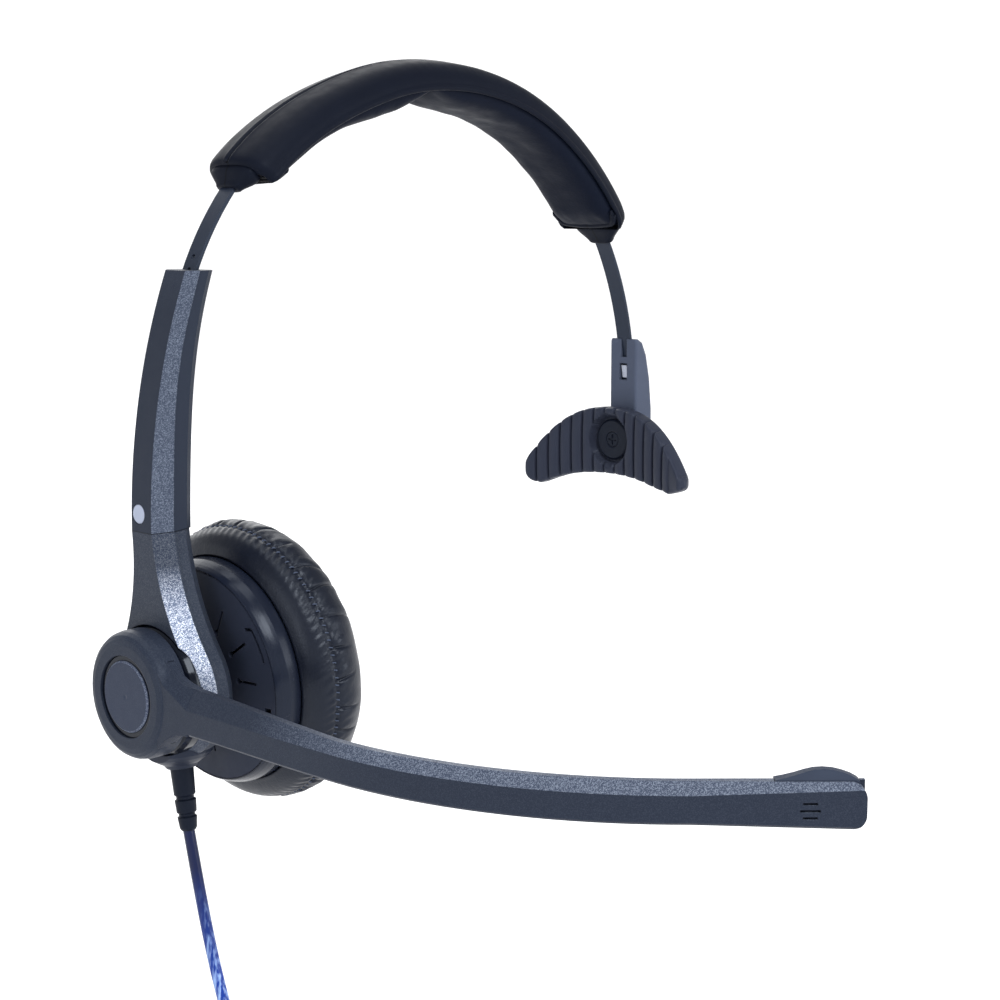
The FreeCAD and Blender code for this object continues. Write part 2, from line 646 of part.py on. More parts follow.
def mic_rubber_cap():
    """Soft cover that closes the boom's end from above: a hump with a long sharp ramp towards the hub."""
    base = BOOM_HALF - 0.5
    humps = [(1.0, 0.0), (1.4, 0.3), (2.4, 0.85), (3.8, 1.35), (5.4, 1.75), (7.1, 1.9), (8.7, 1.8),
             (10.2, 1.45),
             (11.8, 0.95), (13.6, 0.5), (15.4, 0.15)]
    outline = [(1.0, base)] + [(y, BOOM_HALF + up) for y, up in humps] + [(15.4, base)]
    face = face_of([(1.75, y, z) for y, z in outline])
    cap = face.extrude(V(BOOM_DEPTH - 1.65, 0, 0))
    lean = box((-9, -1, 0), (0, 18, 9))
    lean.rotate(V(0, 0, 0), AXIS_Y, 22)
    lean.translate(V(1.85, 0, BOOM_HALF + 0.1))
    return at_tip(cap.cut(lean))


def mic_wires():
    """Two insulated wires along the boom's groove, from the hollow axle to the microphone."""
    runs = []
    pivot = V(BOOM_FACE_X + BOOM_BEND_R, -BOOM_BEND_Y, 0)
    for z in (-0.6, 0.6):
        x = BOOM_FACE_X + 1.8
        start = rod(0.4, (x, -BOOM_ROOT_Y - 0.5, z), (x, -BOOM_BEND_Y, z - BOOM_DROOP[0]))
        ring = Part.Face(Part.Wire(Part.makeCircle(0.4, V(x, -BOOM_BEND_Y, z - BOOM_DROOP[0]), AXIS_Y)))
        bend = ring.revolve(pivot, AXIS_Z, BOOM_BEND_DEG)
        rise = BOOM_DROOP[1] - BOOM_DROOP[0]
        tip = at_tip(rod(0.4, (1.8, BOOM_TIP, z + rise), (1.8, MIC_FROM_TIP + MIC_R + 0.6, z)))
        runs.append(joined([start, bend, tip]))
    return Part.makeCompound(runs)


# ---- ear cup (drawn with the trim ring's plane at x = 0) --------------------------------------------------
def cup_placed(shape):
    copy = moved(shape, RING_FROM_BALL)
    copy.rotate(V(0, 0, 0), AXIS_Y, -CUP_LEAN)
    copy.translate(V(*BALL_CENTRE))
    return copy


def on_ball(shape):
    """A pivot piece drawn about the origin, leaned with the cup and set on the ball's centre."""
    copy = spun(shape, (0, 0, 0), AXIS_Y, -CUP_LEAN)
    copy.translate(V(*BALL_CENTRE))
    return copy


def cup_ball_stud():
    x, y, z = BALL_CENTRE
    flange = rod_x(2.9, x - 6.2, x - 5.0, 0, z)
    neck = rod_x(1.3, x - 5.0, x - 1.0, 0, z)
    return joined([flange, neck, ball(BALL_R, BALL_CENTRE)]).cut(rod_x(0.6, x - 9, x + 9, 0, z))


def cup_pivot_liner():
    shell = ball(LINER_R[1], (0, 0, 0)).cut(ball(LINER_R[0], (0, 0, 0)))
    return on_ball(shell.cut([box((-9, -9, -9), (-1.55, 9, 9)), rod_x(1.0, 0, 9)]))


def cup_back_shell():
    plate = turned([(-PLATE_PROUD, 3.9), (-PLATE_PROUD, PLATE_R), (-0.4, PLATE_R), (4.9, PLATE_R - 0.1),
                    (4.9, PLATE_R - 1.2),
                    (-1.0, PLATE_R - 1.2), (-1.0, 3.9)])
    shell = ball(SOCKET_R[1], (-RING_FROM_BALL, 0, 0)).cut(ball(SOCKET_R[0], (-RING_FROM_BALL, 0, 0)))
    shell = shell.cut([box((-20, -9, -9), (-RING_FROM_BALL - 2.1, 9, 9)), rod_x(1.2, -2, 9)])
    body = joined([plate, shell])
    vents = [plate_slot(VENT_R1 * math.cos(t), VENT_R1 * math.sin(t), VENT_R0 * math.cos(t),
                        VENT_R0 * math.sin(t), 0.6)
             for t in (math.radians(VENT_START + 30 * k) for k in range(12))]
    ends = [rod_x(0.75, -4, -0.5, VENT_R0 * math.cos(t), VENT_R0 * math.sin(t))
            for t in (math.radians(VENT_START + 30 * k) for k in range(12))]
    body = body.cut(vents + ends)
    for side in (0, 180):
        body = body.cut([spun(s, (0, 0, 0), AXIS_X, side) for s in
                         (curved_slot(), plate_slot(-16.6, 12.3, -14.6, 12.1, 0.7),
                          box((-4, -20.8, -4.95), (-0.5, -18.7, -3.8)))])
    return body


VENT_START = 117.5
VENT_R0 = 11.0
VENT_R1 = 16.8


def plate_slot(y0, z0, y1, z1, width):
    """Straight slot through the cup's plate between two (y, z) points."""
    length = math.hypot(y1 - y0, z1 - z0)
    bar = box((-4, 0, -width / 2), (-0.5, length, width / 2))
    return moved(spun(bar, (0, 0, 0), AXIS_X, math.degrees(math.atan2(z1 - z0, y1 - y0))), 0, y0, z0)


def curved_slot():
    ring = rod_x(21.0, -4, -0.5).cut(rod_x(20.3, -5, 0))
    wedge = face_of([(-5, 0, 0), (-5, -30, 8.9), (-5, -30, 22.3)]).extrude(V(8, 0, 0))
    return ring.common(wedge)


def cup_trim_ring():
    return turned([(-PLATE_PROUD + 0.1, PLATE_R + 0.02), (-PLATE_PROUD - 0.1, PLATE_R + 0.3), (-1.8, 23.2),
                   (-1.1, 23.6),
                   (-0.2, 23.95), (0.6, CUP_R), (3.1, CUP_R), (3.1, PLATE_R + 0.02)])


def cup_baffle():
    """Plate behind the cushion that carries the speaker."""
    disc = turned([(3.2, PLATE_R + 0.1), (3.2, 23.6), (6.4, 23.6), (6.4, 13.0), (5.0, 13.0),
                   (5.0, PLATE_R + 0.1)])
    for index in range(3):
        angle = math.radians(90 + 120 * index)
        y, z = CUP_SCREW_R * math.cos(angle), CUP_SCREW_R * math.sin(angle)
        disc = disc.fuse(rod_x(1.5, 0.4, 5.2, y, z)).cut(rod_x(0.7, 0, 7, y, z))
    return disc


def cup_screws():
    screws = []
    for index in range(3):
        angle = math.radians(90 + 120 * index)
        y, z = CUP_SCREW_R * math.cos(angle), CUP_SCREW_R * math.sin(angle)
        screws.append(rod_x(1.3, 6.41, 7.0, y, z).fuse(rod_x(0.65, 1.2, 6.5, y, z))
                      .cut(box((6.75, y - 0.2, z - 0.9), (7.1, y + 0.2, z + 0.9))))
    return Part.makeCompound(screws)


def speaker_basket():
    return turned([(3.05, 5.2), (3.05, 12.2), (3.6, 14.2), (4.9, 14.2), (4.9, 12.9), (4.2, 12.6),
                   (3.7, 11.6), (3.7, 5.2)])


def speaker_magnet():
    return turned([(1.35, 0), (1.35, 7.4), (3.0, 7.4), (3.0, 5.1), (1.9, 5.1), (1.9, 3.6), (3.3, 3.6),
                   (3.3, 0)])


def voice_coil():
    return turned([(2.1, 4.1), (2.1, 4.5), (4.1, 4.5), (4.1, 4.1)])


def speaker_diaphragm():
    return turned([(5.1, 0), (4.95, 2.4), (4.35, 4.6), (4.9, 8.2), (4.5, 12.4), (4.35, 12.4), (4.7, 8.2),
                   (4.15, 4.55),
                   (4.75, 2.4), (4.95, 0)][::-1])


def speaker_grille():
    """Perforated disc set in the baffle's opening."""
    disc = turned([(5.3, 0), (5.3, 12.9), (6.1, 12.9), (6.1, 0)])
    holes = []
    for ring, count in ((3.2, 6), (6.4, 12), (9.6, 18)):
        for index in range(count):
            angle = 2 * math.pi * index / count
            holes.append(rod_x(0.7, 5, 7, ring * math.cos(angle), ring * math.sin(angle)))
    return disc.cut(holes)


def ear_felt():
    return turned([(7.3, 0), (7.3, 13.2), (8.2, 13.2), (8.2, 0)])


def cushion_profile():
    """Cushion's section as (x, radius) points; the back has a pocket for the baffle."""
    return [(7.2, CUSHION_HOLE_R), (7.2, 23.9), (CUSHION_BACK, 24.2), (CUSHION_BACK, 25.6), (5.4, 28.6),
            (8.6, CUSHION_R), (12.6, CUSHION_R), (15.6, 28.6), (17.8, 25.8), (CUSHION_FACE, 22.0),
            (CUSHION_FACE, 18.6), (17.6, 15.6), (14.0, CUSHION_HOLE_R)]


def ear_cushion():
    """Leatherette ring, hollow where the foam sits."""
    outer = turned(cushion_profile())
    return outer.cut(turned(foam_profile(0.05)))


def foam_profile(grow):
    """Foam's section, or with grow above zero the hollow that it sits in."""
    g = grow
    hole = CUSHION_HOLE_R + 1.0 - g
    return [(8.2 - g, hole), (8.2 - g, 27.0 + g), (10.0, 28.9 + g), (12.4, 28.9 + g), (14.8, 27.5 + g),
            (16.6 + g, 25.0), (17.8 + g, 21.8), (17.8 + g, 18.9), (16.6 + g, 16.2), (13.6, hole)]


def cushion_foam():
    return turned(foam_profile(0))


# ---- T-bar ------------------------------------------------------------------------------------------------
def tbar_holder():
    """Slim box on the strip's lower end; its outer side swells downwards."""
    low = TBAR_PIVOT_Z - 5.0
    outline = [(TBAR_FACE_X, low + 1.5), (TBAR_FACE_X + 1.0, low), (161.6, low), (162.4, low + 1.2),
               (162.3, 46.0),
               (161.4, 54.0), (160.0, 60.0), (158.4, 63.2), (157.0, TBAR_TOP_Z), (TBAR_FACE_X, TBAR_TOP_Z)]
    body = face_of([(x, -TBAR_HALF, z) for x, z in outline]).extrude(V(0, 2 * TBAR_HALF, 0))
    edges = [e for e in body.Edges if abs(e.CenterOfMass.y) > TBAR_HALF - 0.01 and e.CenterOfMass.x > 157.5
             and e.CenterOfMass.z > low + 0.6]
    body = body.makeFillet(1.3, edges)
    front = [e for e in body.Edges if abs(abs(e.CenterOfMass.y) - TBAR_HALF) < 0.01
             and e.CenterOfMass.x < TBAR_FACE_X + 0.1]
    body = body.makeFillet(0.7, front)
    pocket = band_piece([(y * 1.02, h * 1.1) for y, h in STRIP_SECTION], "right", 30.0,
                        STRIP_RIGHT_END - 0.5)
    groove = box((TBAR_FACE_X - 1, -1.2, 59.4), (156.2, 0.6, 70))
    window = box((TBAR_FACE_X - 1, -1.3, 53.6), (156.9, 1.1, 57.8))
    hole = rod_x(1.25, TBAR_FACE_X - 1, 160.6, 0, TBAR_PIVOT_Z)
    return body.cut([pocket, groove, window, hole])


def tbar_lock_tab():
    """Bright spring tab in the holder's window that keeps the strip in."""
    face = face_of([(155.55, 0, 57.3), (155.9, 0, 57.4), (156.35, 0, 54.3), (155.95, 0, 54.1)])
    return moved(face, 0, -1.0).extrude(V(0, 1.7, 0))


def crescent(y_grow, x0, x1):
    """The pad's outline about its pivot: a rounded crescent whose ends droop."""
    g = y_grow
    tip = TPAD_HALF + g
    points = [V(x0, 0, 8.9 + g), V(x0, -16.5, 3.6 + g * 0.8), V(x0, -tip + 1.2, -6.0),
              V(x0, -tip + 1.6, -10.6 - g),
              V(x0, -tip + 5.2, -11.6 - g), V(x0, -12.0, -8.9 - g), V(x0, 0, -7.8 - g)]
    mirror = [V(p.x, -p.y, p.z) for p in points]
    edges = []
    for side in (points, mirror):
        top, shoulder, tip_top, tip_mid, tip_low, under, bottom = side
        edges += [Part.Arc(top, shoulder, tip_top).toShape(), Part.Arc(tip_top, tip_mid, tip_low).toShape(),
                  Part.Arc(tip_low, under, bottom).toShape()]
    wire = Part.Wire(Part.__sortEdges__(edges))
    return Part.Face(wire).extrude(V(x1 - x0, 0, 0))


def dished(x_back, thick):
    """Slab of even thickness that curves towards the head at both ends."""
    r = TPAD_DISH_R
    outer = Part.makeCylinder(r + thick, 60, V(x_back - thick - r, 0, -30), AXIS_Z)
    inner = Part.makeCylinder(r, 60, V(x_back - thick - r, 0, -30), AXIS_Z)
    return outer.cut(inner).common(box((x_back - 30, -40, -30), (x_back + 9, 40, 30)))


def tbar_pad():
    """Ribbed rubber crescent; a pocket in its back takes the stiff carrier."""
    pad = crescent(0, TPAD_BACK_X - 20, TPAD_BACK_X + 9).common(dished(TPAD_BACK_X, TPAD_THICK))
    pocket = crescent(-2.2, TPAD_BACK_X - 20, TPAD_BACK_X + 9).common(dished(TPAD_BACK_X + 1, 2.6))
    front_r = TPAD_DISH_R
    centre_x = TPAD_BACK_X - TPAD_THICK - front_r
    pitch = 2 * TPAD_HALF / TPAD_RIBS
    grooves = []
    for index in range(TPAD_RIBS - 1):
        y = (index - (TPAD_RIBS - 2) / 2) * pitch
        x = centre_x + math.sqrt(front_r ** 2 - y ** 2)
        grooves.append(rod(0.75, (x - 0.1, y, -20), (x - 0.1, y, 20)))
    hole = rod_x(RECESS_R, 130, 170)
    return moved(pad.cut(grooves).cut([pocket, hole]), 0, 0, TBAR_PIVOT_Z)


def tbar_carrier():
    """Stiff plate inside the pad, with the bearing eye that rocks on the cap's sleeve."""
    plate = crescent(-2.25, TPAD_BACK_X - 20, TPAD_BACK_X + 9).common(dished(TPAD_BACK_X - 0.05, 1.5))
    eye = rod_x(RECESS_R - 0.05, TPAD_BACK_X - 1.7, TPAD_BACK_X - 0.05)
    return moved(plate.fuse(eye).cut(rod_x(2.4 + AXLE_PLAY, 130, 170)), 0, 0, TBAR_PIVOT_Z)


def tbar_cap():
    """Round cap deep in the pad's recess; its sleeve is the pin that the pad rocks on."""
    cap = turned([(151.4, 0), (151.4, 1.9), (151.25, 2.3), (151.25, 4.7), (151.6, 5.2), (152.3, 5.2),
                  (152.3, 2.4),
                  (TBAR_FACE_X, 2.4), (TBAR_FACE_X, 0)], (0.0, TBAR_PIVOT_Z))
    return cap.cut(rod_x(1.2, 151, 158, 0, TBAR_PIVOT_Z)).cut(rod_x(1.95, 150, 151.95, 0, TBAR_PIVOT_Z))


def tbar_screw():
    z = TBAR_PIVOT_Z
    head = rod_x(1.85, 151.45, 151.94, 0, z)
    shank = rod_x(1.18, 151.94, 160.4, 0, z)
    slots = [box((151.3, -0.25, z - 1.3), (151.7, 0.25, z + 1.3)),
             box((151.3, -1.3, z - 0.25), (151.7, 1.3, z + 0.25))]
    return head.fuse(shank).cut(slots)


# ---- cord and plug ------------------------------------------------------------------------------------
def exit_point(distance):
    lean = math.radians(CORD_LEAN)
    return V(*GLAND_TOP) + V(0, -math.sin(lean), -math.cos(lean)) * distance


CORD_START = exit_point(GLAND_LENGTH + RELIEF_LENGTH)
CORD_ROUTE = [(13.4, -5.9, -45.5), (13.4, -10.3, -60.0), (13.3, -16.4, -74.0), (13.0, -24.4, -84.6),
              (12.8, -34.0, -90.0), (12.8, -44.0, -91.3)]
TAIL_ROUTE = [(24.8, -61.0, -96.75), (31.8, -61.0, -96.75), (38.8, -61.1, -94.9), (45.8, -61.1, -94.2)]


def tube_along(points, radius, name):
    """Round tube on straight runs joined by the largest arcs that they allow."""
    points = [V(*p) for p in points]
    edges = []
    last = points[0]
    radii = []
    for before, corner, after in zip(points, points[1:], points[2:]):
        a, b = (before - corner), (after - corner)
        half_turn = (math.pi - a.getAngle(b)) / 2
        reach = 0.45 * min(a.Length, b.Length)
        bend = reach / math.tan(half_turn)
        radii.append(bend)
        a.normalize()
        b.normalize()
        start, end = corner + a * reach, corner + b * reach
        middle = a + b
        middle.normalize()
        centre = corner + middle * (bend / math.cos(half_turn))
        edges.append(Part.LineSegment(last, start).toShape())
        edges.append(Part.Arc(start, centre - middle * bend, end).toShape())
        last = end
    edges.append(Part.LineSegment(last, points[-1]).toShape())
    path = Part.Wire(edges)
    ring = Part.Wire(Part.makeCircle(radius, points[0], points[1] - points[0]))
    tube = path.makePipeShell([ring], True, False)
    ratio = tube.Volume / (math.pi * radius ** 2 * path.Length)
    print(name, "length", round(path.Length, 1), "radii", [round(r, 1) for r in radii], "volume ratio",
          round(ratio, 4))
    return tube


def cord_tube():
    return tube_along([tuple(CORD_START)] + CORD_ROUTE, CORD_D / 2, "cord_tube")


def cord_tail():
    return tube_along(TAIL_ROUTE, CORD_D / 2, "cord_tail")


def cord_coil():
    """Outer shape of the wound turns."""
    spread = COIL_ROWS * CORD_D / 2
    ring = turned_z([(FLOOR_Z, COIL_MEAN_R - spread), (FLOOR_Z, COIL_MEAN_R + spread),
                     (FLOOR_Z + COIL_ROWS * CORD_D, COIL_MEAN_R + spread), (FLOOR_Z + COIL_ROWS * CORD_D,
                                                                            COIL_MEAN_R - spread)])
    return moved(ring, COIL_CENTRE[0], COIL_CENTRE[1])


def cord_tie():
    """Band round the turns on the side away from the plug."""
    spread = COIL_ROWS * CORD_D / 2
    x, y = COIL_CENTRE[0] + COIL_MEAN_R, COIL_CENTRE[1]
    top = FLOOR_Z + COIL_ROWS * CORD_D
    outer = box((x - spread - 0.7, y - 3, FLOOR_Z + 0.0), (x + spread + 0.7, y + 3, top + 0.7))
    return outer.cut(cord_coil())


def plug_axis():
    x, y, z = TAIL_ROUTE[-1]
    return x, y, z


def plug_boot():
    x, y, z = plug_axis()
    bore = CORD_D / 2
    profile = [(x, bore), (x, 1.75), (x + 2.4, 2.0), (x + 3.0, 1.6), (x + 3.6, 2.2), (x + 5.6, 2.4),
               (x + 6.2, 1.9),
               (x + 6.8, 2.6), (x + 8.5, 2.8), (x + 8.5, bore)]
    return turned(profile, (y, z))


def plug_half(upper):
    """Half of the flat-sided plug body, with finger grooves on its sides."""
    x, y, z = plug_axis()
    x0 = x + 8.5
    low, high = FLOOR_Z, FLOOR_Z + PLUG_HEIGHT
    w = PLUG_HALF_WIDTH
    outline = [(x0, -3.6), (x0 + 4, -w), (x0 + PLUG_LENGTH - 9, -w), (x0 + PLUG_LENGTH - 7, -w + 1.4),
               (x0 + PLUG_LENGTH - 7, w - 1.4), (x0 + PLUG_LENGTH - 9, w), (x0 + 4, w), (x0, 3.6)]
    body = face_of([(px, y + py, low) for px, py in outline]).extrude(V(0, 0, high - low))
    rim = [e for e in body.Edges if abs(e.Vertexes[0].Point.z - e.Vertexes[-1].Point.z) < 0.01]
    body = body.makeChamfer(0.8, rim)
    for index in range(5):
        gx = x0 + 7 + 2.2 * index
        for side in (-1, 1):
            body = body.cut(rod(0.45, (gx, y + side * w, low - 1), (gx, y + side * w, high + 1)))
    nose = rod_x(NOSE_R, x0 + PLUG_LENGTH - 8, x0 + PLUG_LENGTH, y, z)
    body = body.fuse(nose).cut(rod_x(NOSE_R - 0.9, x0 + PLUG_LENGTH - 6, x0 + PLUG_LENGTH + 1, y, z))
    body = body.cut(rod_x(1.3, x0 - 1, x0 + 6, y, z))
    split = z
    half = box((x0 - 2, y - 20, split), (x0 + 60, y + 20, split + 20)) if upper else \
        box((x0 - 2, y - 20, split - 20), (x0 + 60, y + 20, split))
    return body.common(half)


NOSE_R = 2.9


def plug_contacts():
    x, y, z = plug_axis()
    end = x + 8.5 + PLUG_LENGTH
    pins = []
    for dy, dz in ((-1.0, -1.0), (1.0, -1.0), (-1.0, 1.0), (1.0, 1.0)):
        pins.append(rod_x(0.4, end - 6.0, end - 1.2, y + dy, z + dz))
    return Part.makeCompound(pins)


# ---- assembly -----------------------------------------------------------------------------------------
def build():
    SHAPES["headband_strip"] = headband_strip()
    SHAPES["strip_stop"] = strip_stop()
    SHAPES["headband_sleeve"] = headband_sleeve()
    SHAPES["band_collar_left"] = band_collar("left", SLEEVE_LEFT_END + 0.05, COLLAR_LEFT_END)
    SHAPES["band_collar_right"] = band_collar("right", SLEEVE_RIGHT_END - 0.05, COLLAR_RIGHT_END)
    SHAPES["head_cushion_left"] = head_cushion("left", 91.0, 134.6)
    SHAPES["head_cushion_right"] = head_cushion("right", 89.0, 36.4)
    SHAPES["arm_outer_shell"], SHAPES["arm_inner_shell"] = arm_shells()
    SHAPES["arm_screws"] = arm_screws()
    SHAPES["arm_badge"] = arm_badge()
    SHAPES["arm_guide"] = arm_guide()
    SHAPES["detent_spring"] = detent_spring()
    SHAPES["yoke_outer_shell"], SHAPES["yoke_inner_shell"] = yoke_shells()
    SHAPES["yoke_screws"] = yoke_screws()
    SHAPES["cord_gland"] = cord_gland()
    SHAPES["strain_relief"] = strain_relief()
    SHAPES["hub_trim_ring"] = hub_trim_ring()
    SHAPES["hub_axle"] = hub_axle()
    SHAPES["hub_washer"] = hub_washer()
    SHAPES["hub_screw"] = hub_screw()
    SHAPES["hub_bearing"] = hub_bearing()
    SHAPES["hub_cap"] = hub_cap()
    SHAPES["hub_seal_ring"] = hub_seal_ring()
    SHAPES["boom_outer_shell"], SHAPES["boom_inner_shell"] = boom_shells()
    SHAPES["mic_capsule"] = mic_capsule()
    SHAPES["mic_boot"] = mic_boot()
    SHAPES["mic_screen"] = mic_screen()
    SHAPES["mic_rubber_cap"] = mic_rubber_cap()
    SHAPES["mic_wires"] = mic_wires()
    SHAPES["cup_ball_stud"] = cup_ball_stud()
    SHAPES["cup_pivot_liner"] = cup_pivot_liner()
    for maker in (cup_back_shell, cup_trim_ring, cup_baffle, cup_screws, speaker_basket, speaker_magnet,
                  voice_coil,
                  speaker_diaphragm, speaker_grille, ear_felt, ear_cushion, cushion_foam):
        SHAPES[maker.__name__] = cup_placed(maker())
    for maker in (tbar_holder, tbar_lock_tab, tbar_pad, tbar_carrier, tbar_cap, tbar_screw, cord_tube,
                  cord_tail,
                  cord_coil, cord_tie, plug_boot, plug_contacts):
        SHAPES[maker.__name__] = maker()
    SHAPES["plug_shell_top"] = plug_half(True)
    SHAPES["plug_shell_bottom"] = plug_half(False)


build()
os.makedirs("parts", exist_ok=True)
for name, shape in SHAPES.items():
    out = moved(shape, -HEAD_X)
    bad = "" if out.isValid() else "  INVALID"
    print(f"{name:22s} solids {len(out.Solids)} volume {out.Volume:9.1f}{bad}")
    out.exportStep(f"parts/{name}.step")
print(len(SHAPES), "nodes")
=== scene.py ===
import bpy
import math
import random
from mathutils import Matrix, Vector, noise


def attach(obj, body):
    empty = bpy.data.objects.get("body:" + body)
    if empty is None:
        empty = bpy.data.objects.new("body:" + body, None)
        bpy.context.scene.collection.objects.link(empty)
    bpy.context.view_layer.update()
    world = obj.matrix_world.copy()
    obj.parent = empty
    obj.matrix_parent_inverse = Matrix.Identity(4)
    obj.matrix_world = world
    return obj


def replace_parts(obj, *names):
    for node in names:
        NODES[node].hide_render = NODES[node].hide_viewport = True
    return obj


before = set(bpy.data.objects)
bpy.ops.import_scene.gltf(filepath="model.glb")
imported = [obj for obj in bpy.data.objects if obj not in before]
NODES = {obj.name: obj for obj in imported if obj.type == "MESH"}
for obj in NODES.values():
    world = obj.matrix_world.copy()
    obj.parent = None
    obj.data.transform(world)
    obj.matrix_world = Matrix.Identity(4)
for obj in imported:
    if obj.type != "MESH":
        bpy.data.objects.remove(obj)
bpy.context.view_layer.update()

# ---- layout, in millimetres about the hub cap's face: +X across the head, -Y along the boom, +Z up ----
HEAD_X = 96.0
LEFT_C, LEFT_R = (82.0, 57.0), 69.0            # the headband's two tangent arcs
RIGHT_C, RIGHT_R = (82.0, 51.0), 75.0
BALL = (19.4, 0.0, 0.9)                        # ear cup's ball joint
RING_FROM_BALL = 3.2
CUP_LEAN = math.radians(5.0)
TBAR_Z = 38.6
TPAD_X = 154.3                                 # T-bar pad's back, and the radius of its front
TPAD_FRONT_R = 90.0
FLOOR_Z = -98.0
CORD_D = 2.5


def place(x, y, z):
    return ((x - HEAD_X) * 1e-3, y * 1e-3, z * 1e-3)


def smooth(a, b, t):
    """Nought up to a, one from b on, eased between."""
    t = min(max((t - a) / (b - a), 0.0), 1.0)
    return t * t * (3 - 2 * t)


# ---- mesh building ----
def new_mesh(name, points, faces, body, material, scale=True):
    mesh = bpy.data.meshes.new(name)
    mesh.from_pydata([place(*p) for p in points] if scale else points, [], faces)
    mesh.update()
    for face in mesh.polygons:
        face.use_smooth = True
    mesh.materials.append(material)
    obj = bpy.data.objects.new(name, mesh)
    bpy.context.scene.collection.objects.link(obj)
    if body:
        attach(obj, body)
    return obj


def skin(rows, along=False, caps=False):
    """Points and quads through closed rows; along joins the last row to the first, caps closes both ends."""
    n = len(rows[0])
    points = [p for row in rows for p in row]
    faces = []
    for i in range(len(rows) if along else len(rows) - 1):
        a, b = i * n, (i + 1) % len(rows) * n
        for j in range(n):
            k = (j + 1) % n
            faces.append((a + j, a + k, b + k, b + j))
    if caps:
        for row, start, turn in ((rows[0], 0, 1), (rows[-1], (len(rows) - 1) * n, -1)):
            middle = [sum(p[i] for p in row) / n for i in range(3)]
            points.append(middle)
            for j in range(n):
                pair = (start + (j + 1) % n, start + j)[::turn]
                faces.append((*pair, len(points) - 1))
    return points, faces


def curve_tube(name, points, radius, body, material, order=3):
    """Round tube along a NURBS spline whose control points are in millimetres."""
    data = bpy.data.curves.new(name, "CURVE")
    data.dimensions = "3D"
    data.bevel_depth = radius * 1e-3
    data.bevel_resolution = 5
    data.resolution_u = 6
    data.use_fill_caps = True
    line = data.splines.new("NURBS")
    line.points.add(len(points) - 1)
    for point, xyz in zip(line.points, points):
        point.co = (*place(*xyz), 1.0)
    line.order_u = order
    line.use_endpoint_u = True
    data.materials.append(material)
    obj = bpy.data.objects.new(name, data)
    bpy.context.scene.collection.objects.link(obj)
    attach(obj, body)
    return obj


def through(points, count, closed=False):
    """Points spread along a smooth curve through the given ones."""
    n = len(points)
    spans = n if closed else n - 1
    out = []
    for i in range(count):
        t = i * spans / (count if closed else count - 1)
        k = min(int(t), spans - 1)
        f = t - k
        if closed:
            p0, p1, p2, p3 = (points[(k + j) % n] for j in (-1, 0, 1, 2))
        else:
            p0, p1, p2, p3 = (points[min(max(k + j, 0), n - 1)] for j in (-1, 0, 1, 2))
        out.append(tuple(0.5 * (2 * b + (c - a) * f + (2 * a - 5 * b + 4 * c - d) * f * f
                                + (3 * b - a - 3 * c + d) * f ** 3)
                         for a, b, c, d in zip(p0, p1, p2, p3)))
    return out


def bell(value, width):
    """One at nought, fading smoothly to nought well beyond the width."""
    return math.exp(-(value / width) ** 2)


def rough_noise(x, y, z, size):
    return noise.noise(Vector((x / size, y / size, z / size)))


# ---- camera, lights, floor ----
camera_data = bpy.data.cameras.new("camera")
camera_data.lens = 69.6
camera_data.sensor_width = 36.0
camera_data.clip_start = 0.01
camera = bpy.data.objects.new("camera", camera_data)
camera.location = (-0.3187, -0.3167, 0.10045)
camera.rotation_euler = (math.radians(81.0), 0.0, math.radians(-46.4))
bpy.context.scene.collection.objects.link(camera)
bpy.context.scene.camera = camera
bpy.context.scene.view_settings.view_transform = "Standard"


def area_light(name, location, target, size, power):
    data = bpy.data.lights.new(name, "AREA")
    data.shape = "SQUARE"
    data.size = size
    data.energy = power
    obj = bpy.data.objects.new(name, data)
    obj.location = location
    obj.rotation_euler = (Vector(target) - Vector(location)).to_track_quat("-Z", "Y").to_euler()
    bpy.context.scene.collection.objects.link(obj)


MIDDLE = (-0.03, -0.04, 0.03)
area_light("key", (-0.42, -0.95, 0.98), MIDDLE, 0.6, 13.0)
area_light("top", (-0.1, 0.1, 1.35), MIDDLE, 0.8, 6.0)
area_light("right", (0.5, -1.2, 0.4), MIDDLE, 0.6, 5.0)
area_light("left", (-1.35, -0.1, 0.3), MIDDLE, 0.6, 2.5)
area_light("back", (0.5, 1.1, 0.8), MIDDLE, 1.2, 9.0)

world = bpy.data.worlds.new("studio")
bpy.context.scene.world = world
world.use_nodes = True
sky = world.node_tree.nodes["Background"]
sky.inputs["Color"].default_value = (1.0, 1.0, 1.0, 1.0)
sky.inputs["Strength"].default_value = 0.5


# ---- materials ----
def socket(shader, name, value):
    shader.inputs[name].default_value = value


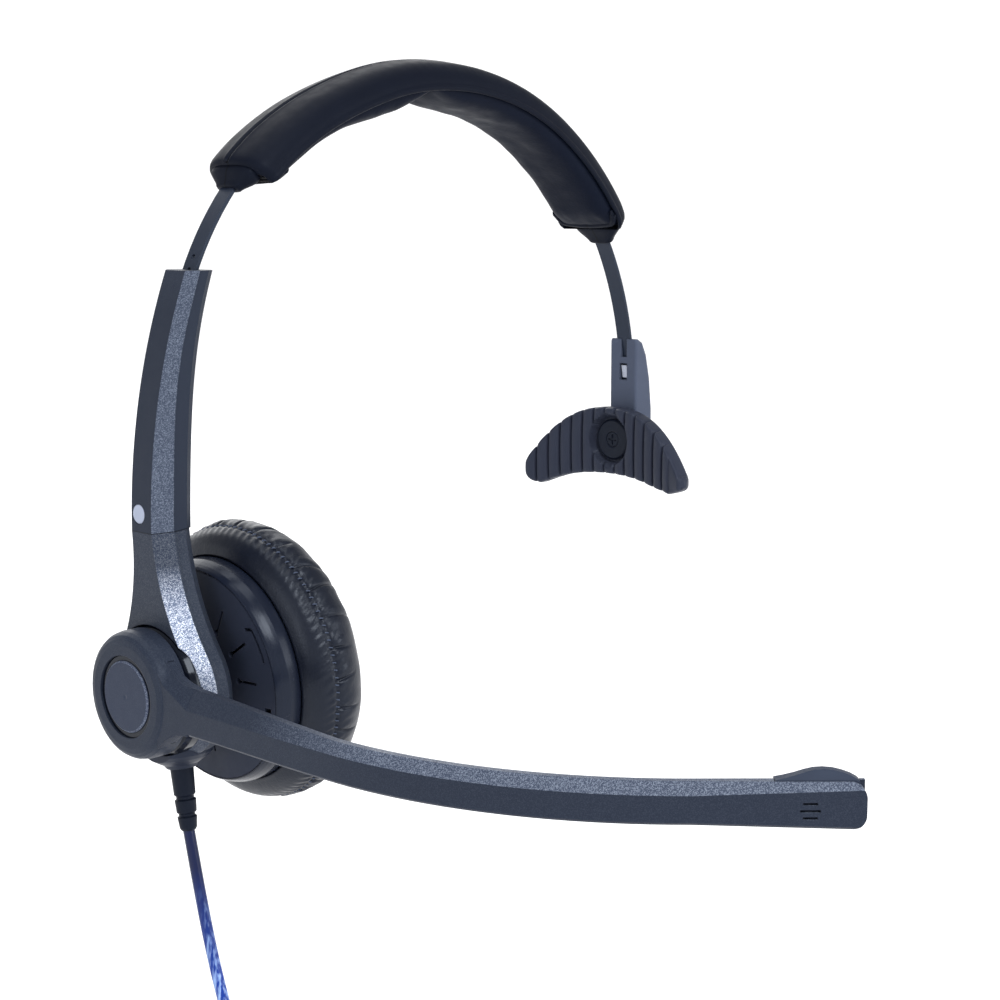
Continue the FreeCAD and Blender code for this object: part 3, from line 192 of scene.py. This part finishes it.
class Mat:
    """A node material in object coordinates, in millimetres."""

    def __init__(self, name, colour, rough=0.5, **sockets):
        self.m = bpy.data.materials.new(name)
        self.m.use_nodes = True
        self.tree = self.m.node_tree
        self.shader = self.tree.nodes["Principled BSDF"]
        socket(self.shader, "Base Color", (*colour, 1.0))
        socket(self.shader, "Roughness", rough)
        for key, value in sockets.items():
            socket(self.shader, key.replace("_", " "), value)
        coord = self.tree.nodes.new("ShaderNodeTexCoord")
        scale = self.tree.nodes.new("ShaderNodeVectorMath")
        scale.operation = "SCALE"
        scale.inputs["Scale"].default_value = 1000.0
        self.tree.links.new(coord.outputs["Object"], scale.inputs[0])
        self.mm = scale.outputs[0]
        self.colour, self.height = colour, None

    def part(self, vector, axis):
        n = self.node("ShaderNodeSeparateXYZ")
        self.link(vector, n.inputs[0])
        return n.outputs[axis]

    def sum(self, *terms):
        """Each value times its weight, added up."""
        total = None
        for value, weight in terms:
            n = self.node("ShaderNodeMath", operation="MULTIPLY_ADD")
            self.link(value, n.inputs[0])
            n.inputs[1].default_value = weight
            if total is not None:
                self.link(total, n.inputs[2])
            else:
                n.inputs[2].default_value = 0.0
            total = n.outputs[0]
        return total

    def near(self, value, centre, half, soft):
        """One within half of the centre, fading to nought over a further soft."""
        n = self.node("ShaderNodeMath", operation="SUBTRACT")
        self.link(value, n.inputs[0])
        n.inputs[1].default_value = centre
        away = self.node("ShaderNodeMath", operation="ABSOLUTE")
        self.link(n.outputs[0], away.inputs[0])
        return self.span(away.outputs[0], half, half + soft, 1.0, 0.0)

    def product(self, a, b):
        n = self.node("ShaderNodeMath", operation="MULTIPLY")
        self.link(a, n.inputs[0])
        self.link(b, n.inputs[1])
        return n.outputs[0]

    def soft_edges(self, radius):
        """Round the light on sharp edges over that many millimetres."""
        n = self.node("ShaderNodeBevel", samples=4, Radius=radius * 1e-3)
        self.height = n.outputs[0]
        self.link(self.height, self.shader.inputs["Normal"])
        return self

    def darken(self, mask, colour):
        """Lay a colour over whatever the base colour is, where the mask is one."""
        base = self.shader.inputs["Base Color"]
        under = base.links[0].from_socket if base.links else tuple(base.default_value[:3])
        self.link(self.mix(mask, under, colour), base)
        return self

    def node(self, kind, **values):
        n = self.tree.nodes.new(kind)
        for key, value in values.items():
            if key in n.inputs:
                n.inputs[key].default_value = value
            else:
                setattr(n, key, value)
        return n

    def link(self, out, to):
        self.tree.links.new(out, to)

    def noise(self, size, detail=3.0, rough=0.5):
        """Noise whose blobs are about size millimetres."""
        n = self.node("ShaderNodeTexNoise", Scale=1.0 / size, Detail=detail, Roughness=rough)
        self.link(self.mm, n.inputs["Vector"])
        return n.outputs["Fac"]

    def cells(self, size, output="Distance"):
        """Voronoi cells about size millimetres across."""
        n = self.node("ShaderNodeTexVoronoi", Scale=1.0 / size)
        self.link(self.mm, n.inputs["Vector"])
        return n.outputs[output]

    def span(self, value, low, high, to_low=0.0, to_high=1.0):
        n = self.node("ShaderNodeMapRange")
        self.link(value, n.inputs["Value"])
        for key, number in (("From Min", low), ("From Max", high), ("To Min", to_low), ("To Max", to_high)):
            n.inputs[key].default_value = number
        return n.outputs["Result"]

    def mix(self, factor, a, b):
        n = self.tree.nodes.new("ShaderNodeMix")
        n.data_type = "RGBA"
        self.link(factor, n.inputs["Factor"])
        for name, value in (("A", a), ("B", b)):
            target = [i for i in n.inputs if i.name == name and i.type == "RGBA"][0]
            if isinstance(value, tuple):
                target.default_value = (*value, 1.0)
            else:
                self.link(value, target)
        return [o for o in n.outputs if o.type == "RGBA"][0]

    def vary(self, factor, amount):
        """Colour varies about its value."""
        dark = tuple(c * (1 - amount) for c in self.colour)
        light = tuple(c * (1 + amount) for c in self.colour)
        self.link(self.mix(factor, dark, light), self.shader.inputs["Base Color"])
        return self

    def roughen(self, factor, low, high):
        self.link(self.span(factor, 0.3, 0.7, low, high), self.shader.inputs["Roughness"])
        return self

    def bump(self, height, depth):
        """Add a bump of that many millimetres on top of earlier ones."""
        n = self.node("ShaderNodeBump", Strength=1.0, Distance=depth * 1e-3)
        self.link(height, n.inputs["Height"])
        if self.height is not None:
            self.link(self.height, n.inputs["Normal"])
        self.height = n.outputs["Normal"]
        self.link(self.height, self.shader.inputs["Normal"])
        return self


def rgb(r, g, b):
    """Linear colour from 0-255 display values."""
    return tuple(((c / 255 + 0.055) / 1.055) ** 2.4 if c > 10 else c / 255 / 12.92 for c in (r, g, b))


TINT = (0.80, 0.88, 1.0, 1.0)
SHEEN = 0.14                                   # how strongly the dark plastics mirror


def moulded(name, colour, rough, grain=0.35, depth=0.012, edge=0.2, shine=SHEEN):
    """Moulded plastic, rubber or metal: grain in mm of that depth, and edges rounded by edge mm."""
    m = Mat(name, colour, rough, Specular_Tint=TINT, Specular_IOR_Level=shine)
    m.vary(m.noise(6.0, 4.0), 0.12)
    m.roughen(m.noise(2.5, 3.0), rough - 0.05, rough + 0.06)
    if edge:
        m.soft_edges(edge)
    return m.bump(m.noise(grain, 2.0), depth)


FLAKE_ROUGH = 0.42


def speckled_painted_glint(name, colour, glint_colour=(0.2, 0.23, 0.3), on_face=0.06, facing=(0, -0.5, 0.2, 0.25), along=None,
             lift=1.7):
    """Plastic sprayed with a fine metallic paint, with painted glints and a painted highlight: its flakes are
    painted lit, and the paint painted lighter, where the surface faces one way, as the light falls there.

    facing is (axis, normal's middle value, half width, fade). along is the same for the place on an axis in mm,
    and how much is left beyond it. on_face is the share of flakes painted lit elsewhere, and lift is how much the
    painted highlight brightens the paint.
    """
    m = Mat(name, colour, FLAKE_ROUGH, Specular_Tint=TINT, Specular_IOR_Level=SHEEN)
    coord = m.node("ShaderNodeTexCoord")
    share = m.near(m.part(coord.outputs["Normal"], facing[0]), *facing[1:])
    if along:
        share = m.product(share, m.span(m.near(m.part(m.mm, along[0]), *along[1:4]), 0.0, 1.0, along[4], 1.0))
    share = m.span(share, 0.0, 1.0, on_face, 1.0)
    sep = m.node("ShaderNodeSeparateColor")
    m.link(m.cells(0.15, "Color"), sep.inputs["Color"])
    # painted glints: flakes lit only where the surface faces the light, and a painted highlight that lifts the
    # paint there
    bright = m.product(m.span(sep.outputs[0], 0.4, 1.0), share)
    lifted = tuple(c * lift + 0.01 for c in colour)
    plain = m.mix(share, colour, lifted)
    m.link(m.mix(bright, plain, glint_colour), m.shader.inputs["Base Color"])
    m.roughen(m.noise(3.0, 3.0), FLAKE_ROUGH - 0.04, FLAKE_ROUGH + 0.05)
    m.soft_edges(0.25)
    m.bump(sep.outputs[1], 0.006)
    return m.bump(m.noise(0.5, 3.0), 0.006)


# painted glints and a painted highlight on the flake plastics where they face the light: on faces turned part way
# to -X for the yoke's shell (most about 11.5 mm up), the arm and the hub cap, and on upward faces along the middle
# of the boom
M = {
    "shell": speckled_painted_glint("charcoal_flake_painted_glint", rgb(32, 38, 50), glint_colour=(0.85, 0.9, 1.0), on_face=0.03,
                      along=(2, 11.5, 4.0, 11.0, 0.05), lift=8.0),
    "arm": speckled_painted_glint("charcoal_flake_arm", rgb(31, 37, 50), glint_colour=(0.125, 0.15, 0.2), on_face=0.0, lift=2.0),
    "boom": speckled_painted_glint("charcoal_flake_boom", rgb(29, 35, 48), glint_colour=(0.17, 0.2, 0.26), facing=(2, 0.7, 0.4, 0.2),
                     along=(1, -116.0, 44.0, 34.0, 0.03), lift=2.4),
    "cap": speckled_painted_glint("charcoal_flake_cap", rgb(38, 45, 62), on_face=0.04),
    "dark": moulded("dark_plastic", rgb(32, 37, 50), 0.42),
    "plate": moulded("cup_plate", rgb(37, 42, 56), 0.5, 0.3, 0.01),
    "gloss": moulded("gloss_black", rgb(10, 14, 24), 0.12, 1.5, 0.001, 0.3, 0.22),
    "ring": moulded("gloss_ring", rgb(20, 25, 38), 0.22, 1.5, 0.001, 0.4, 0.2),
    "rubber": moulded("matte_rubber", rgb(24, 29, 43), 0.6, 0.25, 0.015),
    "tip": moulded("tip_rubber", rgb(45, 52, 67), 0.5, 0.25, 0.008),
    "relief": moulded("relief_rubber", rgb(15, 20, 32), 0.45, 0.4, 0.01, 0.2, 0.12),
    "steel": moulded("bright_steel", rgb(150, 155, 168), 0.3),
    "dark_steel": moulded("black_screw", rgb(14, 19, 31), 0.3),
    "dark_cap": moulded("black_cap", rgb(14, 19, 31), 0.35, 0.3, 0.004, 0.25, 0.15),
    "strip": moulded("coated_strip", rgb(30, 37, 51), 0.36, 0.6, 0.004, 0.12, 0.2),
    "cord": Mat("blue_jacket", rgb(8, 32, 112), 0.2, Transmission_Weight=0.06, IOR=1.46, Coat_Weight=0.12,
                Coat_Roughness=0.08, Specular_IOR_Level=0.2),
    "white": moulded("acetal", rgb(190, 190, 185), 0.4),
    "brass": moulded("gilt", rgb(205, 165, 90), 0.3),
    "badge": moulded("badge_metal", rgb(150, 158, 178), 0.35, 0.5, 0.002, 0.1, 0.5),
    "holder": moulded("satin_grey", rgb(66, 73, 90), 0.42, 0.5, 0.006, 0.3),
}
socket(M["steel"].shader, "Metallic", 1.0)
socket(M["brass"].shader, "Metallic", 1.0)

# the jacket is a darker blue above about 38 mm below the hub, shading to a lighter blue below about 60 mm, with
# pale streaks along its length about 50 to 82 mm down
jacket = M["cord"]
streaks = jacket.node("ShaderNodeMapping", vector_type="POINT")
jacket.link(jacket.mm, streaks.inputs["Vector"])
streaks.inputs["Scale"].default_value = (1.0, 1.0, 0.08)
streak_noise = jacket.node("ShaderNodeTexNoise", Scale=1.4, Detail=4.0)
jacket.link(streaks.outputs["Vector"], streak_noise.inputs["Vector"])
height = jacket.part(jacket.mm, 2)
drop = jacket.span(height, -60.0, -38.0, 1.0, 0.0)
streak = jacket.span(streak_noise.outputs["Fac"], 0.45, 0.7)
clear = jacket.product(streak, jacket.near(height, -66.0, 8.0, 16.0))
tinted = jacket.mix(drop, rgb(9, 22, 62), rgb(16, 52, 140))
jacket.link(jacket.mix(clear, tinted, rgb(150, 180, 230)), jacket.shader.inputs["Base Color"])

# the seam where the arm meets its round foot, along the lean of the foot
FOOT_SLOPE = 0.0759
SEAM_HEIGHT = 33.0 + FOOT_SLOPE * 90.8
arm = M["arm"]
seam = arm.sum((arm.part(arm.mm, 2), 1.0), (arm.part(arm.mm, 0), -FOOT_SLOPE))
arm.darken(arm.near(seam, SEAM_HEIGHT, 0.1, 0.15), rgb(9, 13, 22))


def leather(name, colour, rough, shine):
    """Leatherette with a fine pebble grain over soft wrinkles."""
    m = Mat(name, colour, rough, Specular_Tint=TINT, Specular_IOR_Level=shine)
    m.vary(m.noise(9.0, 4.0), 0.14)
    m.roughen(m.noise(4.0, 3.0), rough - 0.06, rough + 0.08)
    m.bump(m.cells(0.55), 0.018)
    return m.bump(m.noise(3.0, 5.0, 0.6), 0.07)


M["leather"] = leather("leatherette", rgb(12, 17, 30), 0.52, 0.055)
M["ear_leather"] = leather("ear_leatherette", rgb(15, 19, 30), 0.34, 0.26)
M["thread"] = moulded("thread", rgb(62, 70, 88), 0.5, edge=0)
M["sleeve"] = moulded("sleeve_rubber", rgb(12, 16, 27), 0.5, 0.3, 0.008, 0.2, 0.07)
# a painted shade line along the crease at the sleeve's crown
crown_crease_shade = M["sleeve"].near(M["sleeve"].part(M["sleeve"].mm, 1), 0.0, 0.1, 0.15)
M["sleeve"].darken(crown_crease_shade, rgb(5, 7, 12))
M["ribs"] = moulded("rib_rubber", rgb(40, 44, 57), 0.42, 0.25, 0.01, 0)

LOOKS = {
    "shell": ["yoke_outer_shell", "yoke_inner_shell"],
    "boom": ["boom_outer_shell", "boom_inner_shell"],
    "tip": ["mic_rubber_cap"],
    "dark_cap": ["tbar_cap"],
    "arm": ["arm_outer_shell", "arm_inner_shell"],
    "cap": ["hub_cap"],
    "dark": ["arm_guide", "cord_gland", "hub_axle", "cup_baffle", "speaker_grille", "tbar_carrier", "strip_stop",
             "plug_shell_top", "plug_shell_bottom"],
    "plate": ["cup_back_shell"],
    "gloss": ["hub_trim_ring", "hub_seal_ring"],
    "ring": ["cup_trim_ring"],
    "relief": ["strain_relief", "plug_boot"],
    "rubber": ["mic_boot", "tbar_pad", "cord_tie", "headband_sleeve", "band_collar_left",
               "band_collar_right", "mic_wires", "ear_felt", "mic_screen"],
    "steel": ["arm_screws", "yoke_screws", "detent_spring", "hub_washer", "hub_screw", "cup_ball_stud",
              "cup_screws", "speaker_basket", "speaker_magnet", "tbar_lock_tab", "mic_capsule"],
    "dark_steel": ["tbar_screw"],
    "strip": ["headband_strip"],
    "leather": ["head_cushion_left", "head_cushion_right", "ear_cushion", "cushion_foam"],
    "cord": ["cord_tube", "cord_tail", "cord_coil"],
    "white": ["hub_bearing", "cup_pivot_liner", "speaker_diaphragm"],
    "brass": ["plug_contacts", "voice_coil"],
    "badge": ["arm_badge"],
    "holder": ["tbar_holder"],
}
for look, names in LOOKS.items():
    for name in names:
        NODES[name].data.materials.clear()
        NODES[name].data.materials.append(M[look].m)


# ---- headband: rubber sleeve, its collars and the two stuffed pillows ----
def on_band(angle, y, height):
    """Point across the band at an angle round its arcs, at a height above the strip's middle."""
    (cx, cz), radius = (LEFT_C, LEFT_R) if angle >= 90 else (RIGHT_C, RIGHT_R)
    c, s = math.cos(math.radians(angle)), math.sin(math.radians(angle))
    return (cx + (radius + height) * c, y, cz + (radius + height) * s)


def sag(angle):
    """How far the soft parts sit off the strip: they hang on the arm's side and stand off on the other."""
    return -0.9 * bell(angle - 110.0, 14.0) + 0.4 * smooth(122.0, 136.0, angle) \
        + 1.45 * (1.0 - smooth(60.0, 94.0, angle)) * smooth(30.0, 38.0, angle)


# half of the sleeve's section, as (across, height over the strip): over the top, round the lip and back below
SLEEVE_SIDE = [(0.0, 3.45), (0.35, 3.75), (0.9, 4.0), (1.6, 3.85), (3.4, 3.6), (5.6, 3.15), (7.4, 2.3), (8.8, 1.0),
               (9.6, -0.6), (9.85, -1.7), (10.15, -2.1), (10.2, -2.7), (9.85, -3.1), (9.35, -2.9), (9.25, -2.3),
               (9.0, -1.0), (7.6, -0.3), (4.0, 0.1)]
SLEEVE_START = 136.8                           # the arc's angles at the sleeve's ends
SLEEVE_END = 34.0
ARC_STEPS = 150


def headband_sleeve():
    side = through(SLEEVE_SIDE, 44)
    ring = side + [(-y, h) for y, h in side[::-1]]
    rows = []
    for i in range(ARC_STEPS + 1):
        angle = SLEEVE_START + (SLEEVE_END - SLEEVE_START) * i / ARC_STEPS
        edge = min(i, ARC_STEPS - i) * (SLEEVE_START - SLEEVE_END) / ARC_STEPS
        shrink = 1.0 - 0.10 * (1.0 - smooth(0.0, 1.4, edge)) ** 2
        rows.append([on_band(angle, y * shrink, h * shrink + sag(angle) + 0.03 * rough_noise(y, angle, h, 6.0))
                     for y, h in ring])
    points, faces = skin(rows)
    n = len(ring)
    for start in (0, ARC_STEPS * n):               # close the rim at both ends
        for j in range(n // 2 - 1):
            quad = (start + j, start + j + 1, start + n - 2 - j, start + n - 1 - j)
            faces.append(quad if start else quad[::-1])
    return new_mesh("sleeve", points, faces, "headband", M["sleeve"].m)


def collar(name, start, end):
    """Snout from the sleeve's end down to the bare strip."""
    rows = []
    steps = 14
    for i in range(steps + 1):
        t = i / steps
        angle = start + (end - start) * t
        wide = 6.6 - 3.1 * smooth(0.25, 1.0, t)
        high = 2.6 - 1.25 * smooth(0.2, 1.0, t)
        if i in (0, steps):
            wide, high = wide - 0.35, high - 0.35
        lift = sag(start) * (1.0 - smooth(0.3, 1.0, t))
        row = []
        for j in range(40):
            turn = 2 * math.pi * j / 40
            c, s = math.cos(turn), math.sin(turn)
            y = wide * math.copysign(abs(c) ** 0.6, c)
            row.append(on_band(angle, y, lift + high * math.copysign(abs(s) ** 0.7, s)))
        rows.append(row)
    points, faces = skin(rows, caps=True)
    return new_mesh(name, points, faces, "headband", M["sleeve"].m)


PILLOW_HALF = 9.05
PILLOW_BACK = -2.4                             # the pillow's flat side, under the strip


def pillow(name, start, end, seed):
    """Stuffed leatherette pad under the sleeve, puckered where it runs out at its ends."""
    rng = random.Random(seed)
    folds = [(rng.uniform(-7.5, 7.5), rng.uniform(0.7, 1.5), rng.uniform(0.12, 0.32)) for _ in range(9)]
    rows = []
    steps = 110
    for i in range(steps + 1):
        angle = start + (end - start) * i / steps
        near_end = min(i, steps - i) / steps * abs(end - start)
        run_out = 11.0 if i < steps / 2 else 5.5
        fill = max(1.0 - (1.0 - min(near_end / run_out, 1.0)) ** 2.0, 0.0) ** 0.62
        fill *= 1.0 - 0.32 * smooth(104.0, 120.0, angle)
        pucker = bell(near_end - 1.5, 3.2)
        row = []
        for j in range(72):
            turn = 2 * math.pi * j / 72
            c, s = math.cos(turn), math.sin(turn)
            y = PILLOW_HALF * math.copysign(abs(c) ** 0.62, c) * (0.93 + 0.07 * fill)
            deep = PILLOW_BACK - 0.1 - 4.1 * fill * abs(s) ** 0.75 if s < 0 else PILLOW_BACK + 0.6 * s
            if s < 0:
                for at, width, depth in folds:
                    deep += depth * pucker * fill * bell(y - at - 0.25 * near_end, width)
                deep += 0.16 * fill * rough_noise(y + seed, angle * 1.2, 0.0, 5.0)
            row.append(on_band(angle, y, deep + sag(angle)))
        rows.append(row)
    points, faces = skin(rows, caps=True)
    return new_mesh(name, points, faces, "headband", M["leather"].m)


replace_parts(headband_sleeve(), "headband_sleeve")
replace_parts(collar("collar_left", 136.4, 140.0), "band_collar_left")
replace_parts(collar("collar_right", 34.4, 30.2), "band_collar_right")
# a rolled bead along the lip at each end, bowed inwards
for end, inward in ((136.0, -1.0), (35.0, 1.0)):
    bead = []
    for y in (-9.5, -9.3, -8.6, -6.5, -3.0, 0.0, 3.0, 6.5, 8.6, 9.3, 9.5):
        bow = 0.02 * abs(y) ** 1.6 + (2.2 if abs(y) > 9.0 else 0.0)
        bead.append(on_band(end + inward * bow, y, -3.0 + sag(end)))
    curve_tube("sleeve_bead", bead, 0.85, "headband", M["sleeve"].m, order=4)
for pad, node in ((pillow("pillow_left", 91.6, 135.9, 3), "head_cushion_left"),
                  (pillow("pillow_right", 91.2, 34.9, 8), "head_cushion_right")):
    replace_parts(pad, node)


# ---- ear cushion ----
def on_cup(x, radius, turn):
    """Point about the cup's axis, x beyond the trim ring's plane, leaned and set on the ball."""
    x, y, z = x + RING_FROM_BALL, radius * math.cos(turn), radius * math.sin(turn)
    c, s = math.cos(CUP_LEAN), math.sin(CUP_LEAN)
    return (BALL[0] + x * c - z * s, BALL[1] + y, BALL[2] + x * s + z * c)


# the cushion's section, as (distance in front of the trim ring, radius)
CUSHION_RING = [(3.5, 24.2), (3.4, 25.4), (4.2, 27.2), (5.8, 28.8), (8.5, 29.7), (11.2, 30.2), (13.8, 29.6),
                (16.2, 28.0), (18.0, 25.4), (18.9, 22.4), (18.9, 19.0), (17.6, 16.0), (15.2, 14.2), (11.5, 13.7),
                (7.6, 13.9), (7.2, 16.0), (7.2, 20.5), (6.9, 23.8)]
SEAM_X = 8.5
SEAM_R = 29.6
GATHERS = 96
STITCHES = 118
EAR_STEPS = 1080


def ear_cushion():
    """Stuffed ring with a sewn groove, gathers beside it and creases that run forwards from it."""
    rng = random.Random(21)
    creases = []
    at = 0.0
    while at < 352.0:
        creases.append((math.radians(at), rng.uniform(0.007, 0.011), rng.uniform(0.35, 0.65),
                        rng.uniform(-0.01, 0.01), rng.uniform(13.0, 18.5)))
        at += rng.uniform(9.0, 16.5)
    ring = through(CUSHION_RING, 96, closed=True)
    middle = (11.5, 22.0)
    rows = []
    for i in range(EAR_STEPS):
        turn = 2 * math.pi * i / EAR_STEPS
        row = []
        for x, r in ring:
            out = (x - middle[0], r - middle[1])
            size = math.hypot(*out)
            push = 0.0
            if r > 21.0 and x > 3.8:
                ahead = x - SEAM_X
                push -= 0.55 * bell(ahead, 0.33)
                beside = 0.07 * bell(ahead - 1.2, 1.3) if ahead > 0 else 0.13 * bell(ahead + 1.2, 1.3)
                wander = 1.5 * math.sin(5 * turn)
                wander += 2.0 * rough_noise(9 * math.cos(turn), 9 * math.sin(turn), 0.0, 1.5)
                push += beside * math.sin(GATHERS * turn + 1.7 * ahead + wander)
                if ahead > 0:
                    for where, width, depth, skew, reach in creases:
                        gap = (turn - where - skew * ahead + math.pi) % (2 * math.pi) - math.pi
                        if abs(gap) < 0.12:
                            here = 1.0 - smooth(reach - 4.0, reach, x)
                            push -= depth * bell(gap, width) * here
                            push += 0.3 * depth * bell(abs(gap) - 0.05, 0.03) * here
            if x > SEAM_X:
                push += 0.16 * rough_noise(12 * math.cos(turn), 12 * math.sin(turn), x * 0.3, 2.2)
            row.append(on_cup(x + out[0] / size * push, r + out[1] / size * push, turn))
        rows.append(row)
    points, faces = skin(rows, along=True)
    return new_mesh("ear_pad", points, [face[::-1] for face in faces], "ear_cup", M["ear_leather"].m)


def stitches():
    """Short threads that cross the seam's groove."""
    points, faces = [], []
    for i in range(STITCHES):
        turn = 2 * math.pi * i / STITCHES
        start = len(points)
        for k, (dx, lift) in enumerate(((-0.55, -0.32), (-0.25, 0.02), (0.25, 0.02), (0.55, -0.32))):
            for j in range(6):
                a = 2 * math.pi * j / 6
                r = SEAM_R + lift + 0.16 * math.sin(a)
                points.append(on_cup(SEAM_X + dx, r, turn + (0.16 * math.cos(a) + 0.3 * dx) / SEAM_R))
        for k in range(3):
            for j in range(6):
                a, b = start + 6 * k + j, start + 6 * k + (j + 1) % 6
                faces.append((a, b, b + 6, a + 6))
    return new_mesh("ear_stitches", points, faces, "ear_cup", M["thread"].m)


ear = ear_cushion()
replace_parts(ear, "ear_cushion", "cushion_foam")
stitches()


# ---- T-bar pad ----
def pad_top(y):
    """Height of the crescent's upper edge, from its pivot."""
    y = abs(y)
    if y > 25.3:
        return -9.0 + 2.3 * math.sqrt(max(1.0 - ((y - 25.3) / 1.1) ** 2, 0.0))
    return 8.2 - 0.00603 * y ** 2.418


def pad_low(y):
    """Height of its lower edge, which is not quite alike on both sides."""
    lift = 1.5 * smooth(-14.0, -26.0, y) - 0.5 * smooth(12.0, 25.0, y)
    y = abs(y)
    if y > 21.3:
        return -9.0 - (3.5 - lift) * math.sqrt(max(1.0 - ((y - 21.3) / 5.1) ** 2, 0.0))
    return -8.7 + lift - 0.00513 * y ** 2.16


RIB_PITCH = 3.45
TPAD_HALF = 26.4
TPAD_BACK_R = 94.6
TPAD_EDGE_R = 1.3


def tbar_pad():
    """Rubber crescent: ribbed in front, with a hole for the round cap and a hollow back."""
    rows = []
    columns = 420
    for i in range(columns + 1):
        s = -1.0 + 2.0 * i / columns
        y = TPAD_HALF * math.sin(s * math.pi / 2) * 0.35 + TPAD_HALF * s * 0.65
        high, low = pad_top(y), pad_low(y)
        thin = math.sqrt(max(1.0 - smooth(TPAD_HALF - 1.8, TPAD_HALF, abs(y)) ** 2, 0.0)) * 0.85 + 0.15
        back = TPAD_X - TPAD_BACK_R + math.sqrt(TPAD_BACK_R ** 2 - y * y)
        front = TPAD_X - TPAD_BACK_R + math.sqrt(TPAD_FRONT_R ** 2 - y * y)
        mid_x, mid_z = (back + front) / 2, (high + low) / 2
        half_x, half_z = (back - front) / 2 * thin, max((high - low) / 2, 0.05)
        place_in_rib = (y / RIB_PITCH + 0.5) % 1.0 - 0.5
        ribbed = smooth(26.0, 24.0, abs(y)) if y > -21.5 else 0.0
        groove = bell(abs(place_in_rib) - 0.5, 0.085)
        crown = math.cos(place_in_rib * math.pi)
        row = []
        for j in range(96):
            turn = 2 * math.pi * (j + 0.5) / 96
            c, sn = math.cos(turn), math.sin(turn)
            px = -half_x * math.copysign(min(abs(c) ** 0.22, 1.0), c)
            pz = half_z * math.copysign(min(abs(sn), 1.0) ** (0.5 if abs(sn) > abs(c) else 0.9), sn)
            inside = TPAD_EDGE_R - min(half_z - abs(pz), TPAD_EDGE_R)
            if half_x > TPAD_EDGE_R:
                limit = half_x - TPAD_EDGE_R + math.sqrt(max(TPAD_EDGE_R ** 2 - inside ** 2, 0.0))
                px = math.copysign(min(abs(px), limit), px)
            front_share = 1.0 - smooth(-half_x * 0.5, half_x * 0.5, px)
            away = math.hypot(y, mid_z + pz)
            push = ribbed * front_share * (1.05 * groove - 0.35 * crown) * smooth(6.2, 6.9, away)
            if px < 0:
                px += push + 2.75 * (1.0 - smooth(6.05, 6.35, away))
                pz *= 1.0 - 0.045 * groove * ribbed
            elif half_z - abs(pz) > 2.2 and abs(y) < 23.6:
                px -= 1.7
            row.append((mid_x + px, y, TBAR_Z + mid_z + pz))
        rows.append(row)
    points, faces = skin(rows, caps=True)
    return new_mesh("rib_pad", points, faces, "tbar", M["ribs"].m)


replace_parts(tbar_pad(), "tbar_pad")

# ---- cord: route, then coil turns, then the tail to the plug, on one spline ----
CORD_EXIT = (13.4, -2.149, -30.629)
CORD_ROUTE = [CORD_EXIT, (13.4, -5.9, -45.5), (13.4, -10.3, -60.0), (13.3, -16.4, -74.0), (13.0, -24.4, -84.6),
              (12.8, -33.6, -90.0)]
TAIL_ROUTE = [(31.8, -61.0, -96.75), (38.8, -61.1, -94.9), (45.8, -61.1, -94.2)]
COIL = (24.8, -44.0)
TURN_POINTS = 16
COIL_TURNS = 9
LANE_R = (12.0, 14.5, 17.0)                    # three turns side by side, in three layers from the top down
LANES = [(r, z) for layer, z in enumerate((-91.75, -94.25, -96.75))
         for r in (LANE_R if layer % 2 == 0 else LANE_R[::-1])]


def coil_points():
    """Control points of the coil, a turn to each lane, with the change of lane late in each turn."""
    points = []
    swell = 1.0 / math.cos(math.pi / TURN_POINTS)
    total = COIL_TURNS * TURN_POINTS + TURN_POINTS // 4
    for i in range(total + 1):
        turn, part = divmod(i / TURN_POINTS, 1.0)
        turn = int(turn)
        here = LANES[min(turn, COIL_TURNS - 1)]
        after = LANES[min(turn + 1, COIL_TURNS - 1)]
        t = smooth(0.72, 1.0, part)
        r = (here[0] + (after[0] - here[0]) * t) * swell
        z = here[1] + (after[1] - here[1]) * t
        angle = math.pi + 2 * math.pi * i / TURN_POINTS
        points.append((COIL[0] + r * math.cos(angle), COIL[1] + r * math.sin(angle), z))
    return points


cord = curve_tube("cord", CORD_ROUTE + coil_points() + TAIL_ROUTE, CORD_D / 2, "arm", M["cord"].m)
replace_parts(cord, "cord_tube", "cord_coil", "cord_tail")

# ---- floor ----
FLOOR_R = 1.6                                  # flat as far as here, in metres, then it sweeps up into a wall
SWEEP_R = 0.9
MIDDLE_R = 0.02
SWEEP_STEPS = 15
AROUND = 96
floor_rows = []
for i in range(SWEEP_STEPS + 2):
    t = max(i - 1, 0) / SWEEP_STEPS * math.pi / 2
    radius = FLOOR_R + SWEEP_R * math.sin(t) if i else MIDDLE_R
    z = FLOOR_Z * 1e-3 - 0.0002 + SWEEP_R * (1.0 - math.cos(t))
    turns = [math.tau * j / AROUND for j in range(AROUND)]
    floor_rows.append([(radius * math.cos(turn), radius * math.sin(turn), z) for turn in turns])
floor_mat = Mat("floor", (0.55, 0.55, 0.56), 0.7, Emission_Color=(1.0, 1.0, 1.0, 1.0), Emission_Strength=0.62)
floor_mat.vary(floor_mat.noise(400.0), 0.01)
points, faces = skin(floor_rows)
faces = [face[::-1] for face in faces] + [tuple(range(AROUND))]
floor = new_mesh("floor", points, faces, None, floor_mat.m, scale=False)
